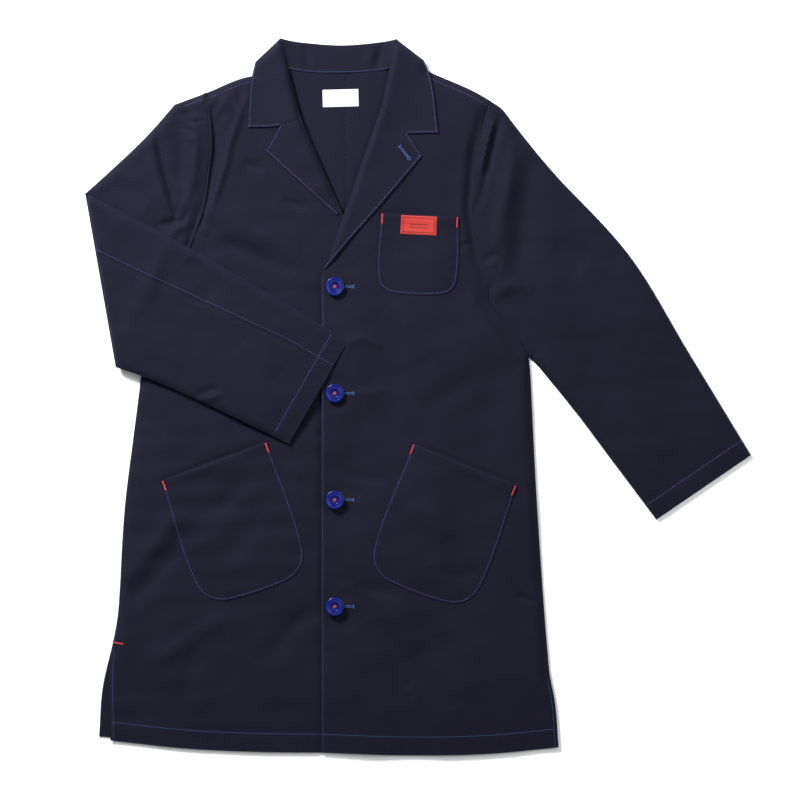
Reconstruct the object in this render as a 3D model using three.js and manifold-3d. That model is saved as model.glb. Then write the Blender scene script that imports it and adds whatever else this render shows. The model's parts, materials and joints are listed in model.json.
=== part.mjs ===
// A lab coat laid flat on its back, buttoned, with its right sleeve folded across the front.
// Millimetres. X = 0 is the line of the buttons and +X is the wearer's left. Y = 0 is the seam of
// the back neck and the hem lies at -backLength. Z = 0 is the surface that the coat lies on.
import * as THREE from 'three';
import { mergeVertices } from 'three/addons/utils/BufferGeometryUtils.js';
import Module from 'manifold-3d';

const wasm = await Module();
wasm.setup();

// ---------------------------------------------------------------- driving dimensions
const cloth = 1.2; // a sewn panel: twill, turned edges and seam allowances pressed flat
const gap = 0.3; // between pieces that lie on or beside each other
const roomInside = 4.8; // free height between the back and the facings
const sleeveRoom = 6.2; // free height inside a sleeve
const pocketRoom = 4.5; // free height inside a patch pocket

const backLength = 956;
const hemHalfWidth = 313;
const hipHalfWidth = 293;
const waistHalfWidth = 274;
const chestHalfWidth = 214;
const armpitDrop = 295;
const ventLength = 150;
const overlap = 18.5; // each front passes the button line by this much
const facingWidth = 62;
const backSeamX = 15.4;

const sleeveLength = 598; // shoulder tip to cuff, along the fold
const cuffWidth = 160;
const sleeveWidth = 170; // across the sleeve below the armpit
const elbowBulge = 25;
const sleeveAngle = -54.26; // the left sleeve's direction, in degrees from +X
const leftElbow = 395; // shoulder tip to elbow, along the sleeve
const foldDistance = 176; // right shoulder tip to the fold of the right sleeve
const forearmAngle = -29.83; // the folded right forearm's direction, in degrees from +X

const buttonCount = 4;
const firstButtonDrop = 300;
const buttonSpacing = 149;
const buttonRadius = 13;
const buttonThickness = 3.8;
const threadRadius = 1.5;
const buttonTilt = 8; // degrees each way
const buttonholeLength = 31.5;
const stitchHeight = 0.5; // how far dense stitching stands out of the cloth

const pocketWidth = 157;
const pocketDepth = 193;
const pocketCorner = 48;
const chestPocketWidth = 109;
const chestPocketDepth = 111;
const chestPocketCorner = 30;
const bartackLength = 14;
const bartackWidth = 2.4;
const labelLength = 50;
const labelWidth = 26;
const labelThickness = 0.4;

const collarFall = 50; // depth of the collar's turned-down part behind the neck

// ---------------------------------------------------------------- levels of the layers
const layer = cloth + gap;
const backLevel = 0;
const raisedBackLevel = layer; // the back passes over the collar's fall here
const rightFacingLevel = cloth + roomInside;
const rightFrontLevel = rightFacingLevel + layer;
const leftFacingLevel = rightFrontLevel + layer;
const leftFrontLevel = leftFacingLevel + layer;
const rightLapelLevel = rightFrontLevel + layer;
const leftLapelLevel = leftFrontLevel + layer;
const wallFoot = cloth + gap; // walls of the fronts stand on the back panels
const shoulderWallFoot = raisedBackLevel + layer;
const rightFrontTop = rightFrontLevel + cloth;
const leftFrontTop = leftFrontLevel + cloth;
const sleeveTop = 2 * cloth + sleeveRoom;
const foldedLevel = leftFrontTop + gap; // underside of the folded forearm
const elbowHingeHeight = (foldedLevel + sleeveTop) / 2;
const hem = -backLength;

// ---------------------------------------------------------------- solids
function solidOf(geometry) {
  const bare = geometry.clone();
  bare.deleteAttribute('normal');
  bare.deleteAttribute('uv');
  const merged = mergeVertices(bare, 1e-4);
  return new wasm.Manifold(new wasm.Mesh({
    numProp: 3,
    vertProperties: new Float32Array(merged.attributes.position.array),
    triVerts: new Uint32Array(merged.index.array),
  }));
}

// An upright prism over a closed outline of [x, y] points.
function prism(outline, low, high) {
  const shape = new THREE.Shape(outline.map(([x, y]) => new THREE.Vector2(x, y)));
  const geometry = new THREE.ExtrudeGeometry(shape, { depth: high - low, bevelEnabled: false });
  geometry.translate(0, 0, low);
  return solidOf(geometry);
}

function join(...solids) {
  return solids.reduce((all, next) => all.add(next));
}

// The points of a line moved sideways, to the left of its direction for a positive distance.
function besideLine(line, distance) {
  return line.map(([x, y], i) => {
    const [ax, ay] = line[Math.max(i - 1, 0)];
    const [bx, by] = line[Math.min(i + 1, line.length - 1)];
    const length = Math.hypot(bx - ax, by - ay);
    return [x - (by - ay) / length * distance, y + (bx - ax) / length * distance];
  });
}

// A strip of the given width that follows an open line.
function strip(line, width, low, high) {
  const left = besideLine(line, width / 2);
  const right = besideLine(line, -width / 2);
  return prism([...right, ...left.reverse()], low, high);
}

// A cloth wall just inside an outline, along one stretch of its edge.
function wall(line, outline, low, high) {
  return strip(line, 2 * cloth, low, high).intersect(prism(outline, low, high));
}

// A long rectangle on the left of the line from a to b, at a clearance from it.
function leftOf(a, b, clearance) {
  const reach = 2000;
  const length = Math.hypot(b[0] - a[0], b[1] - a[1]);
  const along = [(b[0] - a[0]) / length, (b[1] - a[1]) / length];
  const across = [-along[1], along[0]];
  const corner = (s, t) => [a[0] + along[0] * s + across[0] * t, a[1] + along[1] * s + across[1] * t];
  return [
    corner(-reach, clearance),
    corner(reach, clearance),
    corner(reach, reach),
    corner(-reach, reach),
  ];
}

function smooth(points, steps) {
  const curve = new THREE.SplineCurve(points.map(([x, y]) => new THREE.Vector2(x, y)));
  return curve.getPoints(steps).map((p) => [p.x, p.y]);
}

// A closed outline whose listed corners are rounded; radii holds 0 for a sharp corner.
function rounded(corners, radii, steps = 7) {
  return corners.flatMap((corner, i) => {
    if (radii[i] === 0) {
      return [corner];
    }
    const here = new THREE.Vector2(...corner);
    const before = new THREE.Vector2(...corners[(i + corners.length - 1) % corners.length]);
    const after = new THREE.Vector2(...corners[(i + 1) % corners.length]);
    const start = here.clone().add(before.sub(here).setLength(radii[i]));
    const end = here.clone().add(after.sub(here).setLength(radii[i]));
    const bend = new THREE.QuadraticBezierCurve(start, here.clone().lerp(start.clone().add(end)
      .multiplyScalar(0.5), 0.06), end);
    return bend.getPoints(steps).map((p) => [p.x, p.y]);
  });
}

// Maps (u, v) to the plan: u runs from the origin at the given angle, v to its right-hand side.
function planFrame(origin, degrees) {
  const angle = THREE.MathUtils.degToRad(degrees);
  const along = [Math.cos(angle), Math.sin(angle)];
  const across = [along[1], -along[0]];
  return (u, v) => [
    origin[0] + along[0] * u + across[0] * v,
    origin[1] + along[1] * u + across[1] * v,
  ];
}

function rectangle(at, u0, v0, u1, v1) {
  return [at(u0, v0), at(u1, v0), at(u1, v1), at(u0, v1)];
}

// ---------------------------------------------------------------- colours and naming
const coat = new THREE.Group();

const finishes = {
  twill: { color: 0x24243a, roughness: 0.9, metalness: 0 },
  facing: { color: 0x21212f, roughness: 0.9, metalness: 0 },
  button: { color: 0x0b2a86, roughness: 0.3, metalness: 0 },
  blueThread: { color: 0x1f46b4, roughness: 0.6, metalness: 0 },
  redThread: { color: 0xb3182a, roughness: 0.6, metalness: 0 },
  redLabel: { color: 0xc81e1e, roughness: 0.8, metalness: 0 },
  whiteLabel: { color: 0xeeeaf0, roughness: 0.8, metalness: 0 },
};

function add(name, solid, finish) {
  const { vertProperties, triVerts } = solid.getMesh();
  const geometry = new THREE.BufferGeometry();
  geometry.setAttribute('position', new THREE.BufferAttribute(new Float32Array(vertProperties), 3));
  geometry.setIndex(new THREE.BufferAttribute(new Uint32Array(triVerts), 1));
  geometry.computeVertexNormals();
  const mesh = new THREE.Mesh(geometry, new THREE.MeshStandardMaterial(finishes[finish]));
  mesh.name = name;
  coat.add(mesh);
  return mesh;
}

// ---------------------------------------------------------------- lines that pieces share
const armpit = { left: [chestHalfWidth, -armpitDrop], right: [-chestHalfWidth, -armpitDrop] };
const shoulderTip = { left: [232.8, -50.2], right: [-224.4, -45] };
const armholeTop = { left: [216, -39], right: [-182, -29.4] };
const neckPoint = { left: [86, 17], right: [-76, 10] };

const armhole = {
  left: [armholeTop.left, ...smooth([[199, -109], [192, -188], [193.6, -207], [203, -256]], 6),
    armpit.left],
  right: [armholeTop.right, ...smooth([[-176, -106], [-185, -180], [-193, -207], [-207, -245]], 6),
    armpit.right],
};

// Below the armpit the sleeve lies against the side of the body for a short way.
const underarm = {
  left: [armpit.left, [215, -321], [227, -338], [262, -382], [271, -398]],
  right: [armpit.right, [-215, -321], [-227, -338], [-260, -382], [-269, -398]],
};

const ventTop = {
  left: [hipHalfWidth + 7, hem + ventLength - 32],
  right: [-hipHalfWidth - 18, hem + ventLength + 7],
};

// From the end of the underarm line down to the top of the vent.
const sideSeam = {
  left: smooth([underarm.left.at(-1), [waistHalfWidth, -431], [waistHalfWidth + 7.4, -580],
    [hipHalfWidth - 0.4, hem + 207], ventTop.left], 12),
  right: smooth([underarm.right.at(-1), [-waistHalfWidth + 2, -431], [-waistHalfWidth - 8.4, -513],
    [-waistHalfWidth - 21, -618], [-hipHalfWidth - 9.8, hem + 207], ventTop.right], 12),
};

const rollLine = {
  left: { top: [65.2, -47], bottom: [-14.6, -276] },
  right: { top: [-47.6, -64.2], bottom: [9.8, -195] },
};

// ---------------------------------------------------------------- back
const neckSeam = smooth([neckPoint.right, [-66.5, 5], [-35, 0], [2, -1.3], [42, 0.5], [78, 5.5],
  neckPoint.left], 16);
const shoulder = {
  left: [neckPoint.left, [132, 1], [210, -35.2], armholeTop.left],
  right: [neckPoint.right, [-115.5, -5], armholeTop.right],
};

const backOutline = {
  left: [...shoulder.left, ...armhole.left.slice(1), ...underarm.left.slice(1),
    ...sideSeam.left.slice(1), [hemHalfWidth - 9, hem + 60], [hemHalfWidth - 7, hem + 17],
    [112, hem + 8], [backSeamX, hem + 9], [backSeamX, 0]],
  right: [...shoulder.right, ...armhole.right.slice(1), ...underarm.right.slice(1),
    ...sideSeam.right.slice(1), [-hemHalfWidth - 12, hem + 95.6], [-hemHalfWidth - 17, hem + 26.6],
    [-110, hem + 12], [backSeamX, hem + 9], [backSeamX, 0]],
};

// Where the back is lifted by the collar's fall that lies under it.
const raisedRegion = (margin) => [
  [-121 - margin, 34 - collarFall - margin],
  [136 + margin, 34 - collarFall - margin],
  [136 + margin, 60 + margin],
  [-121 - margin, 60 + margin],
];

function makeBack(side, seamSide) {
  const outline = backOutline[side];
  const top = raisedBackLevel + cloth;
  const belowNeck = prism([...neckSeam, [400, 17], [400, hem - 100], [-400, hem - 100], [-400, 10]],
    backLevel, top);
  const region = prism(outline, backLevel, top).intersect(belowNeck)
    .intersect(prism(leftOf(...seamSide, gap / 2), backLevel, top));
  const inner = prism(raisedRegion(0), backLevel, top);
  const outer = prism(raisedRegion(cloth), backLevel, top);
  const wide = backLength * 2;
  const slab = (low) => prism(rectangle(planFrame([0, 0], 0), -wide, -wide, wide, wide), low,
    low + cloth);
  const flat = region.subtract(inner).intersect(slab(backLevel));
  const raised = region.intersect(outer).intersect(slab(raisedBackLevel));
  const riser = region.intersect(outer.subtract(inner));
  return join(flat, riser, raised);
}

add('back_left_panel', makeBack('left', [[backSeamX, 0], [backSeamX, hem]]), 'twill');
add('back_right_panel', makeBack('right', [[backSeamX, hem], [backSeamX, 0]]), 'twill');

// ---------------------------------------------------------------- fronts and facings
const frontOutline = {
  left: [...shoulder.left.slice(1), ...armhole.left.slice(1), ...underarm.left.slice(1),
    ...sideSeam.left.slice(1), [hemHalfWidth - 5.4, hem + 77], [hemHalfWidth, hem + 11.6],
    [212, hem + 2.4], [100, hem + 0.4], [-overlap, hem + 4.2], [-overlap, -284],
    rollLine.left.bottom, rollLine.left.top, [76, -6]],
  right: [...shoulder.right.slice(1), ...armhole.right.slice(1), ...underarm.right.slice(1),
    ...sideSeam.right.slice(1), [-hemHalfWidth - 1, hem + 21], [-207, hem + 9.8],
    [-95, hem + 4.9], [overlap, hem + 4.2], [overlap, -214], rollLine.right.bottom,
    rollLine.right.top, [-68, -6]],
};

const facingOutline = {
  left: [[-overlap, hem + 6], [facingWidth, hem + 6], [facingWidth, -280], [78, -150], [112, -60],
    [124, -1], [92, 12], [76, -6], rollLine.left.top, rollLine.left.bottom, [-overlap, -284]],
  right: [[overlap, hem + 6], [overlap, -214], rollLine.right.bottom, rollLine.right.top,
    [-68, -6], [-80, 4], [-110, -8], [-98, -90], [-facingWidth, -215], [-facingWidth, hem + 6]],
};

const buttonDrops = Array.from({ length: buttonCount }, (_, i) => firstButtonDrop + i * buttonSpacing);
const slotHalf = threadRadius + 0.8;
const holeStart = -slotHalf - 1.2;

function slots(low, high) {
  return join(...buttonDrops.map((drop) => prism(
    rectangle(planFrame([0, -drop], 0), holeStart, -slotHalf, holeStart + buttonholeLength, slotHalf),
    low,
    high,
  )));
}

function makeFront(side, level) {
  const outline = frontOutline[side];
  const top = level + cloth;
  const seamLine = [...underarm[side], ...sideSeam[side].slice(1)];
  return join(
    prism(outline, level, top),
    wall(seamLine, outline, wallFoot, top),
    wall(shoulder[side].slice(1), outline, shoulderWallFoot, top),
  );
}

const openSlots = slots(leftFacingLevel - cloth, leftFrontTop + cloth);
add('front_left_panel', makeFront('left', leftFrontLevel).subtract(openSlots), 'twill');
add('front_right_panel', makeFront('right', rightFrontLevel), 'twill');
add('front_left_facing', prism(facingOutline.left, leftFacingLevel, leftFacingLevel + cloth)
  .subtract(openSlots), 'facing');
add('front_right_facing', prism(facingOutline.right, rightFacingLevel, rightFacingLevel + cloth),
  'facing');

// ---------------------------------------------------------------- collar
const collarPeak = { left: [85.4, 46.4], right: [-75.6, 47.8] };
const collarSide = { left: [124.9, 16], right: [-111.3, 14] };
const collarTopMiddle = [8.4, 38];
const topEdge = smooth([collarPeak.right, [-50, 42.5], collarTopMiddle, [60, 42], collarPeak.left], 12);
const standFoot = {
  left: [neckPoint.left[0] - 4, neckPoint.left[1] + 8],
  right: [neckPoint.right[0] + 4, neckPoint.right[1] + 8],
};

// The seam between collar and lapel, from the roll line to the notch.
const gorge = {
  left: [rollLine.left.top, [100.8, -85.9]],
  right: [rollLine.right.top, [-76.6, -74.4]],
};

const wingOutline = {
  left: [collarPeak.left, ...gorge.left, [144.6, -85.2], [130.2, 3], collarSide.left],
  right: [collarPeak.right, [-66.5, 2.3], ...gorge.right, [-121.8, -77.2], [-114.8, 0],
    collarSide.right],
};

const lapelOutline = {
  left: [rollLine.left.bottom, [-13.3, -274.2], [18.2, -236.8], [61.2, -188.4], [121.7, -117.4],
    ...[...gorge.left].reverse()],
  right: [rollLine.right.bottom, [2, -199.5], [-96.6, -110.4], ...[...gorge.right].reverse()],
};

// Each roll line with the turned-over cloth on its left.
const rollWithClothLeft = {
  left: [rollLine.left.top, rollLine.left.bottom],
  right: [rollLine.right.bottom, rollLine.right.top],
};

// The line of the stand's upright end, carried a little past the collar's peak.
function standEnd(side) {
  const [foot, peak] = [standFoot[side], collarPeak[side]];
  return [foot, [peak[0] + (peak[0] - foot[0]) * 0.2, peak[1] + (peak[1] - foot[1]) * 0.2]];
}

function makeStand() {
  const level = raisedBackLevel;
  const plate = prism([...topEdge, standFoot.left, ...neckSeam.slice(1, -1).reverse(),
    standFoot.right], level, level + cloth)
    .subtract(strip(neckSeam, 2 * gap, level, level + cloth));
  const sideWall = (side, top) => strip(standEnd(side), 2 * cloth, level, top)
    .intersect(prism([...topEdge, standFoot.left, standFoot.right], level, top));
  return join(
    plate,
    sideWall('left', leftLapelLevel - gap),
    sideWall('right', rightLapelLevel - gap),
  );
}

function makeFall() {
  const low = backLevel;
  const outline = [...topEdge, collarSide.left, [126, -6], [60, 36 - collarFall],
    [8, 38 - collarFall], [-50, 36 - collarFall], [-112, -6], collarSide.right];
  const edge = (side, top) => wall([collarPeak[side], collarSide[side]], outline, low, top);
  const clearOf = (side) => strip(standEnd(side), 2 * (cloth + gap), low + cloth, leftLapelLevel);
  return join(
    prism(outline, low, low + cloth),
    edge('left', leftLapelLevel - gap).subtract(clearOf('left')),
    edge('right', rightLapelLevel - gap).subtract(clearOf('right')),
  );
}

add('collar_stand', makeStand(), 'twill');
add('collar_back_fall', makeFall(), 'twill');

function turnedOver(outline, side, level) {
  const outside = prism(leftOf(...rollWithClothLeft[side], gap), level, level + cloth);
  return prism(outline, level, level + cloth).intersect(outside);
}

function makeLapel(side, level) {
  return turnedOver(lapelOutline[side], side, level)
    .subtract(strip(gorge[side], 2 * gap, level, level + cloth));
}

const underLeftLapel = prism(leftOf(...rollWithClothLeft.left, -5), 0, leftLapelLevel + cloth);
add('collar_left', turnedOver(wingOutline.left, 'left', leftLapelLevel), 'twill');
add('collar_right', turnedOver(wingOutline.right, 'right', rightLapelLevel), 'twill');
add('lapel_left', makeLapel('left', leftLapelLevel), 'twill');
add('lapel_right', makeLapel('right', rightLapelLevel).subtract(underLeftLapel), 'twill');

// ---------------------------------------------------------------- sleeves
const leftSleeveAt = planFrame(shoulderTip.left, sleeveAngle);
const fold = {
  outer: planFrame(shoulderTip.right, 180 + 45.1)(foldDistance, 0),
  inner: [-305.9, -412.4],
};
const forearmAt = planFrame(fold.outer, forearmAngle);
const forearmLength = sleeveLength - foldDistance - 1.4;

const leftSleeve = {
  outer: smooth([[0, 0], [110, -6], [270, -elbowBulge], [sleeveLength - 166, -13],
    [sleeveLength, 0]], 14).map(([u, v]) => leftSleeveAt(u, v)),
  inner: [...underarm.left, ...smooth([[322, sleeveWidth - 1], [leftElbow + 8, cuffWidth + 4],
    [(leftElbow + sleeveLength) / 2, cuffWidth + 2], [sleeveLength - 4, cuffWidth]], 8)
    .map(([u, v]) => leftSleeveAt(u, v))],
};
const leftSleeveOutline = [...leftSleeve.outer, ...[...leftSleeve.inner].reverse(),
  ...[...armhole.left].reverse().slice(1)];

const rightUpper = {
  outer: [armholeTop.right, shoulderTip.right, [-252.4, -77.5], fold.outer],
  inner: [...underarm.right, fold.inner],
};
const rightUpperOutline = [...rightUpper.outer, ...[...rightUpper.inner].reverse(),
  ...[...armhole.right].reverse().slice(1, -1)];

const foldWidth = 158; // how far along the forearm the fold's inner end lies
const alongForearm = (share) => foldWidth + (forearmLength - foldWidth) * share;
const forearm = {
  outer: smooth([[0, 0], [forearmLength * 0.38, -6], [forearmLength * 0.9, -4.5],
    [forearmLength, 0]], 8).map(([u, v]) => forearmAt(u, v)),
  inner: [fold.inner, ...[[0.145, sleeveWidth + 12], [0.435, sleeveWidth + 3],
    [0.72, cuffWidth + 7], [1, cuffWidth + 2]].map(([s, v]) => forearmAt(alongForearm(s), v))],
};
const forearmOutline = [...forearm.outer, ...[...forearm.inner].reverse()];

// Two panels: the top one bends down at the sleeve's fold, the under one up at its seam.
function makeSleeve(outline, outer, inner, place, keep) {
  const range = (low, high) => [low, high].map(place).sort((a, b) => a - b);
  const topLevel = cloth + sleeveRoom;
  const bounds = range(0, sleeveTop);
  const kept = keep.map((region) => prism(region, ...bounds));
  const trim = (solid) => kept.reduce((left, region) => left.intersect(region), solid);
  const top = join(
    prism(outline, ...range(topLevel, sleeveTop)),
    wall(outer, outline, ...range(cloth + gap, sleeveTop)),
  );
  const under = join(
    prism(outline, ...range(0, cloth)),
    wall(inner, outline, ...range(0, topLevel - gap)),
  );
  return { top: trim(top), under: trim(under) };
}

const asLaid = (z) => z;
const foldedOver = (z) => 2 * elbowHingeHeight - z;
const seamGap = (side) => strip([...armhole[side], ...underarm[side].slice(1)], 2 * gap, 0, 40);
const elbowLine = [leftSleeveAt(leftElbow, 0), leftSleeveAt(leftElbow, 1)];
const foldLine = [fold.inner, fold.outer];

const leftUpperSleeve = makeSleeve(leftSleeveOutline, leftSleeve.outer, leftSleeve.inner, asLaid,
  [leftOf(elbowLine[1], elbowLine[0], gap)]);
const leftForearm = makeSleeve(leftSleeveOutline, leftSleeve.outer, leftSleeve.inner, asLaid,
  [leftOf(elbowLine[0], elbowLine[1], gap)]);
const rightUpperSleeve = makeSleeve(rightUpperOutline, rightUpper.outer, rightUpper.inner, asLaid,
  [leftOf(fold.outer, fold.inner, gap)]);
const rightForearm = makeSleeve(forearmOutline, forearm.outer, forearm.inner, foldedOver,
  [leftOf(fold.outer, fold.inner, gap)]);

add('left_sleeve_top', leftUpperSleeve.top.subtract(seamGap('left')), 'twill');
add('left_sleeve_under', leftUpperSleeve.under.subtract(seamGap('left')), 'twill');
add('left_forearm_top', leftForearm.top, 'twill');
add('left_forearm_under', leftForearm.under, 'twill');
add('right_sleeve_top', rightUpperSleeve.top.subtract(seamGap('right')), 'twill');
add('right_sleeve_under', rightUpperSleeve.under.subtract(seamGap('right')), 'twill');
add('right_forearm_top', rightForearm.top, 'twill');
add('right_forearm_under', rightForearm.under, 'twill');

// ---------------------------------------------------------------- patch pockets
const chestAt = planFrame([64.4, -197.2], -2.75);
const leftPocketAt = planFrame([108.9, -519.2], -22.05);
const rightPocketAt = ((at) => (u, v) => at(-u, v))(planFrame([-95.2, -517.1], 20.2));

const chestCorners = [[0, 0], [-1.5, chestPocketDepth], [chestPocketWidth + 3, chestPocketDepth - 1],
  [chestPocketWidth, 0]];
const pocketCorners = [[0, 0], [3.5, pocketDepth], [pocketWidth + 8, pocketDepth - 5],
  [pocketWidth, 0]];

function makePocket(at, corners, radius, frontTop) {
  const outline = rounded(corners, [0, radius, radius, 0]).map(([u, v]) => at(u, v));
  const level = frontTop + pocketRoom;
  return join(
    prism(outline, level, level + cloth),
    wall(outline, outline, frontTop + gap, level + cloth),
  );
}

add('chest_pocket', makePocket(chestAt, chestCorners, chestPocketCorner, leftFrontTop), 'twill');
add('left_pocket', makePocket(leftPocketAt, pocketCorners, pocketCorner, leftFrontTop), 'twill');
add('right_pocket', makePocket(rightPocketAt, pocketCorners, pocketCorner, rightFrontTop), 'twill');

// ---------------------------------------------------------------- bartacks
function addBartack(name, at, u, v, level) {
  const half = bartackWidth / 2;
  const outline = rectangle(at, u - half, v, u + half, v + bartackLength);
  add(name, prism(outline, level + gap, level + gap + stitchHeight), 'redThread');
}

const bartackInset = 2.2;
[
  ['chest_pocket', chestAt, chestPocketWidth, leftFrontTop],
  ['left_pocket', leftPocketAt, pocketWidth, leftFrontTop],
  ['right_pocket', rightPocketAt, pocketWidth, rightFrontTop],
].forEach(([name, at, width, frontTop]) => {
  const level = frontTop + pocketRoom + cloth;
  addBartack(`${name}_bartack_inner`, at, bartackInset, 0.8, level);
  addBartack(`${name}_bartack_outer`, at, width - bartackInset + 0.4, 0.8, level);
});

// It lies almost level across the top of the right vent.
const ventTackAt = planFrame([ventTop.right[0] + 1.4, ventTop.right[1] + 1.6], 81);
addBartack('right_vent_bartack', ventTackAt, 0, 0, rightFrontTop);

// ---------------------------------------------------------------- buttonholes
const holeEdge = 1.6;
function makeButtonhole(at, length, level) {
  const inner = rectangle(at, 0, -slotHalf, length, slotHalf);
  const outer = rectangle(at, -holeEdge, -slotHalf - holeEdge, length + holeEdge, slotHalf + holeEdge);
  const ends = rounded(outer, [1.5, 1.5, 1.5, 1.5], 3);
  return prism(ends, level + gap, level + gap + stitchHeight)
    .subtract(prism(inner, level, level + cloth));
}

buttonDrops.forEach((drop, i) => {
  const at = planFrame([holeStart, -drop], 0);
  add(`buttonhole_${i + 1}`, makeButtonhole(at, buttonholeLength, leftFrontTop), 'blueThread');
});
const lapelHoleAt = planFrame([90.3, -103.4], -52.5);
add('lapel_buttonhole', makeButtonhole(lapelHoleAt, 22, leftLapelLevel + cloth), 'blueThread');

// ---------------------------------------------------------------- buttons
const buttonPivot = rightFrontTop + gap;
const tiltDrop = buttonRadius * Math.sin(THREE.MathUtils.degToRad(buttonTilt));
const buttonLevel = leftFrontTop + gap + tiltDrop;
const threadHole = threadRadius + 0.4;
const buttonFloor = buttonThickness * 0.58;

function lathe(profile, segments, x, y, z) {
  const geometry = new THREE.LatheGeometry(profile.map(([r, h]) => new THREE.Vector2(r, h)), segments);
  geometry.rotateX(Math.PI / 2);
  geometry.translate(x, y, z);
  return solidOf(geometry);
}

const rimWidth = 4.2;
const wellRadius = buttonRadius - rimWidth;
const buttonProfile = [
  [threadHole, 0],
  [buttonRadius - 1.4, 0],
  [buttonRadius, 1.2],
  [buttonRadius, buttonThickness - 1.2],
  [buttonRadius - 1.2, buttonThickness],
  [buttonRadius - 3, buttonThickness],
  [wellRadius, buttonFloor],
  [threadHole, buttonFloor],
  [threadHole, 0],
];
const headRadius = threadRadius + 1.5;
const shankHeight = buttonLevel - buttonPivot + buttonFloor + gap;
const threadProfile = [
  [0, 0],
  [threadRadius, 0],
  [threadRadius, shankHeight],
  [headRadius, shankHeight],
  [headRadius, shankHeight + 0.9],
  [0, shankHeight + 0.9],
];

buttonDrops.forEach((drop, i) => {
  add(`button_${i + 1}`, lathe(buttonProfile, 28, 0, -drop, buttonLevel), 'button');
  add(`button_thread_${i + 1}`, lathe(threadProfile, 12, 0, -drop, buttonPivot), 'redThread');
});

// ---------------------------------------------------------------- labels
const chestLabelLevel = leftFrontTop + pocketRoom + cloth + gap;
add('chest_label', prism(rectangle(chestAt, 28.6, 1.5, 28.6 + labelLength, 1.5 + labelWidth),
  chestLabelLevel, chestLabelLevel + labelThickness), 'redLabel');
const neckLabelAt = planFrame([7.7 - labelLength / 2, -24.5], 1.5);
add('neck_label', prism(rectangle(neckLabelAt, 0, 0, labelLength, labelWidth - 2),
  cloth + gap, cloth + gap + labelThickness), 'whiteLabel');

// ---------------------------------------------------------------- origin under the middle of the coat
coat.updateMatrixWorld(true);
const box = new THREE.Box3().setFromObject(coat);
const middle = box.getCenter(new THREE.Vector3());
coat.position.set(-middle.x, -middle.y, -box.min.z);

export default coat;
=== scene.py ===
"""A navy twill lab coat lying flat on its back, buttoned, one sleeve folded over the front."""

import json
import math

import bpy
import numpy as np
from bpy.props import FloatProperty, FloatVectorProperty, PointerProperty
from mathutils import Matrix, Vector
from mathutils.geometry import delaunay_2d_cdt

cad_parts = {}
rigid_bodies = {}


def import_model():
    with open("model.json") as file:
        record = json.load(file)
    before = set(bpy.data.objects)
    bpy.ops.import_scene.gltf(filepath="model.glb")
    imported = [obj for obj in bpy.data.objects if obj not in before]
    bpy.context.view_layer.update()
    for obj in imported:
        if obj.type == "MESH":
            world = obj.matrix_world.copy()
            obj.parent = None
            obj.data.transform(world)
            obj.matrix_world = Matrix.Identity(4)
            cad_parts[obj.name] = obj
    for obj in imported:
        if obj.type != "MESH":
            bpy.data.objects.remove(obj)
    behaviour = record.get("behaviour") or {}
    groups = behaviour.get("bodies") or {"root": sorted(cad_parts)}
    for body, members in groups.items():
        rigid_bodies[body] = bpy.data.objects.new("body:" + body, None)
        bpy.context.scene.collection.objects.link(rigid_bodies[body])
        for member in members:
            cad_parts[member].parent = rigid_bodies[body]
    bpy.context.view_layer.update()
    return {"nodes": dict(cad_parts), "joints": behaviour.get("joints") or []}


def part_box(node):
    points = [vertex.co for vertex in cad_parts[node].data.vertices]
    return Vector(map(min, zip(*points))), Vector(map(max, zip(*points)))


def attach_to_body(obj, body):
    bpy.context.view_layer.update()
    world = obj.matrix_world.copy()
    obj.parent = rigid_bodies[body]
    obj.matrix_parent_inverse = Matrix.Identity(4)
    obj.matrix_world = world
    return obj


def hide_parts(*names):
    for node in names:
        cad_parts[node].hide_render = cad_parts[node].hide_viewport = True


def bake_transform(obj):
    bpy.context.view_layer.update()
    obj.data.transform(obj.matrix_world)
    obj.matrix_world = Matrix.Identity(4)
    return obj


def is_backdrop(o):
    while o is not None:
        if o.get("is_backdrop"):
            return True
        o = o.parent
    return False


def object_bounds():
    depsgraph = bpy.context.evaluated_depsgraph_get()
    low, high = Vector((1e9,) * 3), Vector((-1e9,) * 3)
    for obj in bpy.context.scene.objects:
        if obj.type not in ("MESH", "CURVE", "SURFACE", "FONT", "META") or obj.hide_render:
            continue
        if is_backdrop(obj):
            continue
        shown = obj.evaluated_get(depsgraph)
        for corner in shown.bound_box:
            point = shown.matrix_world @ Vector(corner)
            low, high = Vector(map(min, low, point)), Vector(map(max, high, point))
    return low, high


bl_info = {
    "name": "Lab Coat",
    "version": (1, 0, 0),
    "blender": (4, 5, 0),
    "location": "View3D > Sidebar > Lab Coat",
    "description": "Builds a flat-laid lab coat piece by piece around its packed frame",
    "category": "Object",
}

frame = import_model()
MM = 0.001
SHARP_TURN = 24  # degrees; an outline that turns more has a corner there
GRID = 1e5  # corners are matched on a grid of this many steps to the metre
FLAT_ENOUGH = 0.9  # the upright share of a normal that counts as facing up or down
CORNER_REACH = 12 * MM  # a named place this near to a corner means the corner
EDGE_SPACING = 3.6 * MM  # widest distance between two points of a panel's edge
ROW_STEP = 0.866  # from one row of even triangles to the next, as a share of their side
CLOTH_ANGLE = math.radians(42)  # cloth is shaded smooth up to this angle


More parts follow.
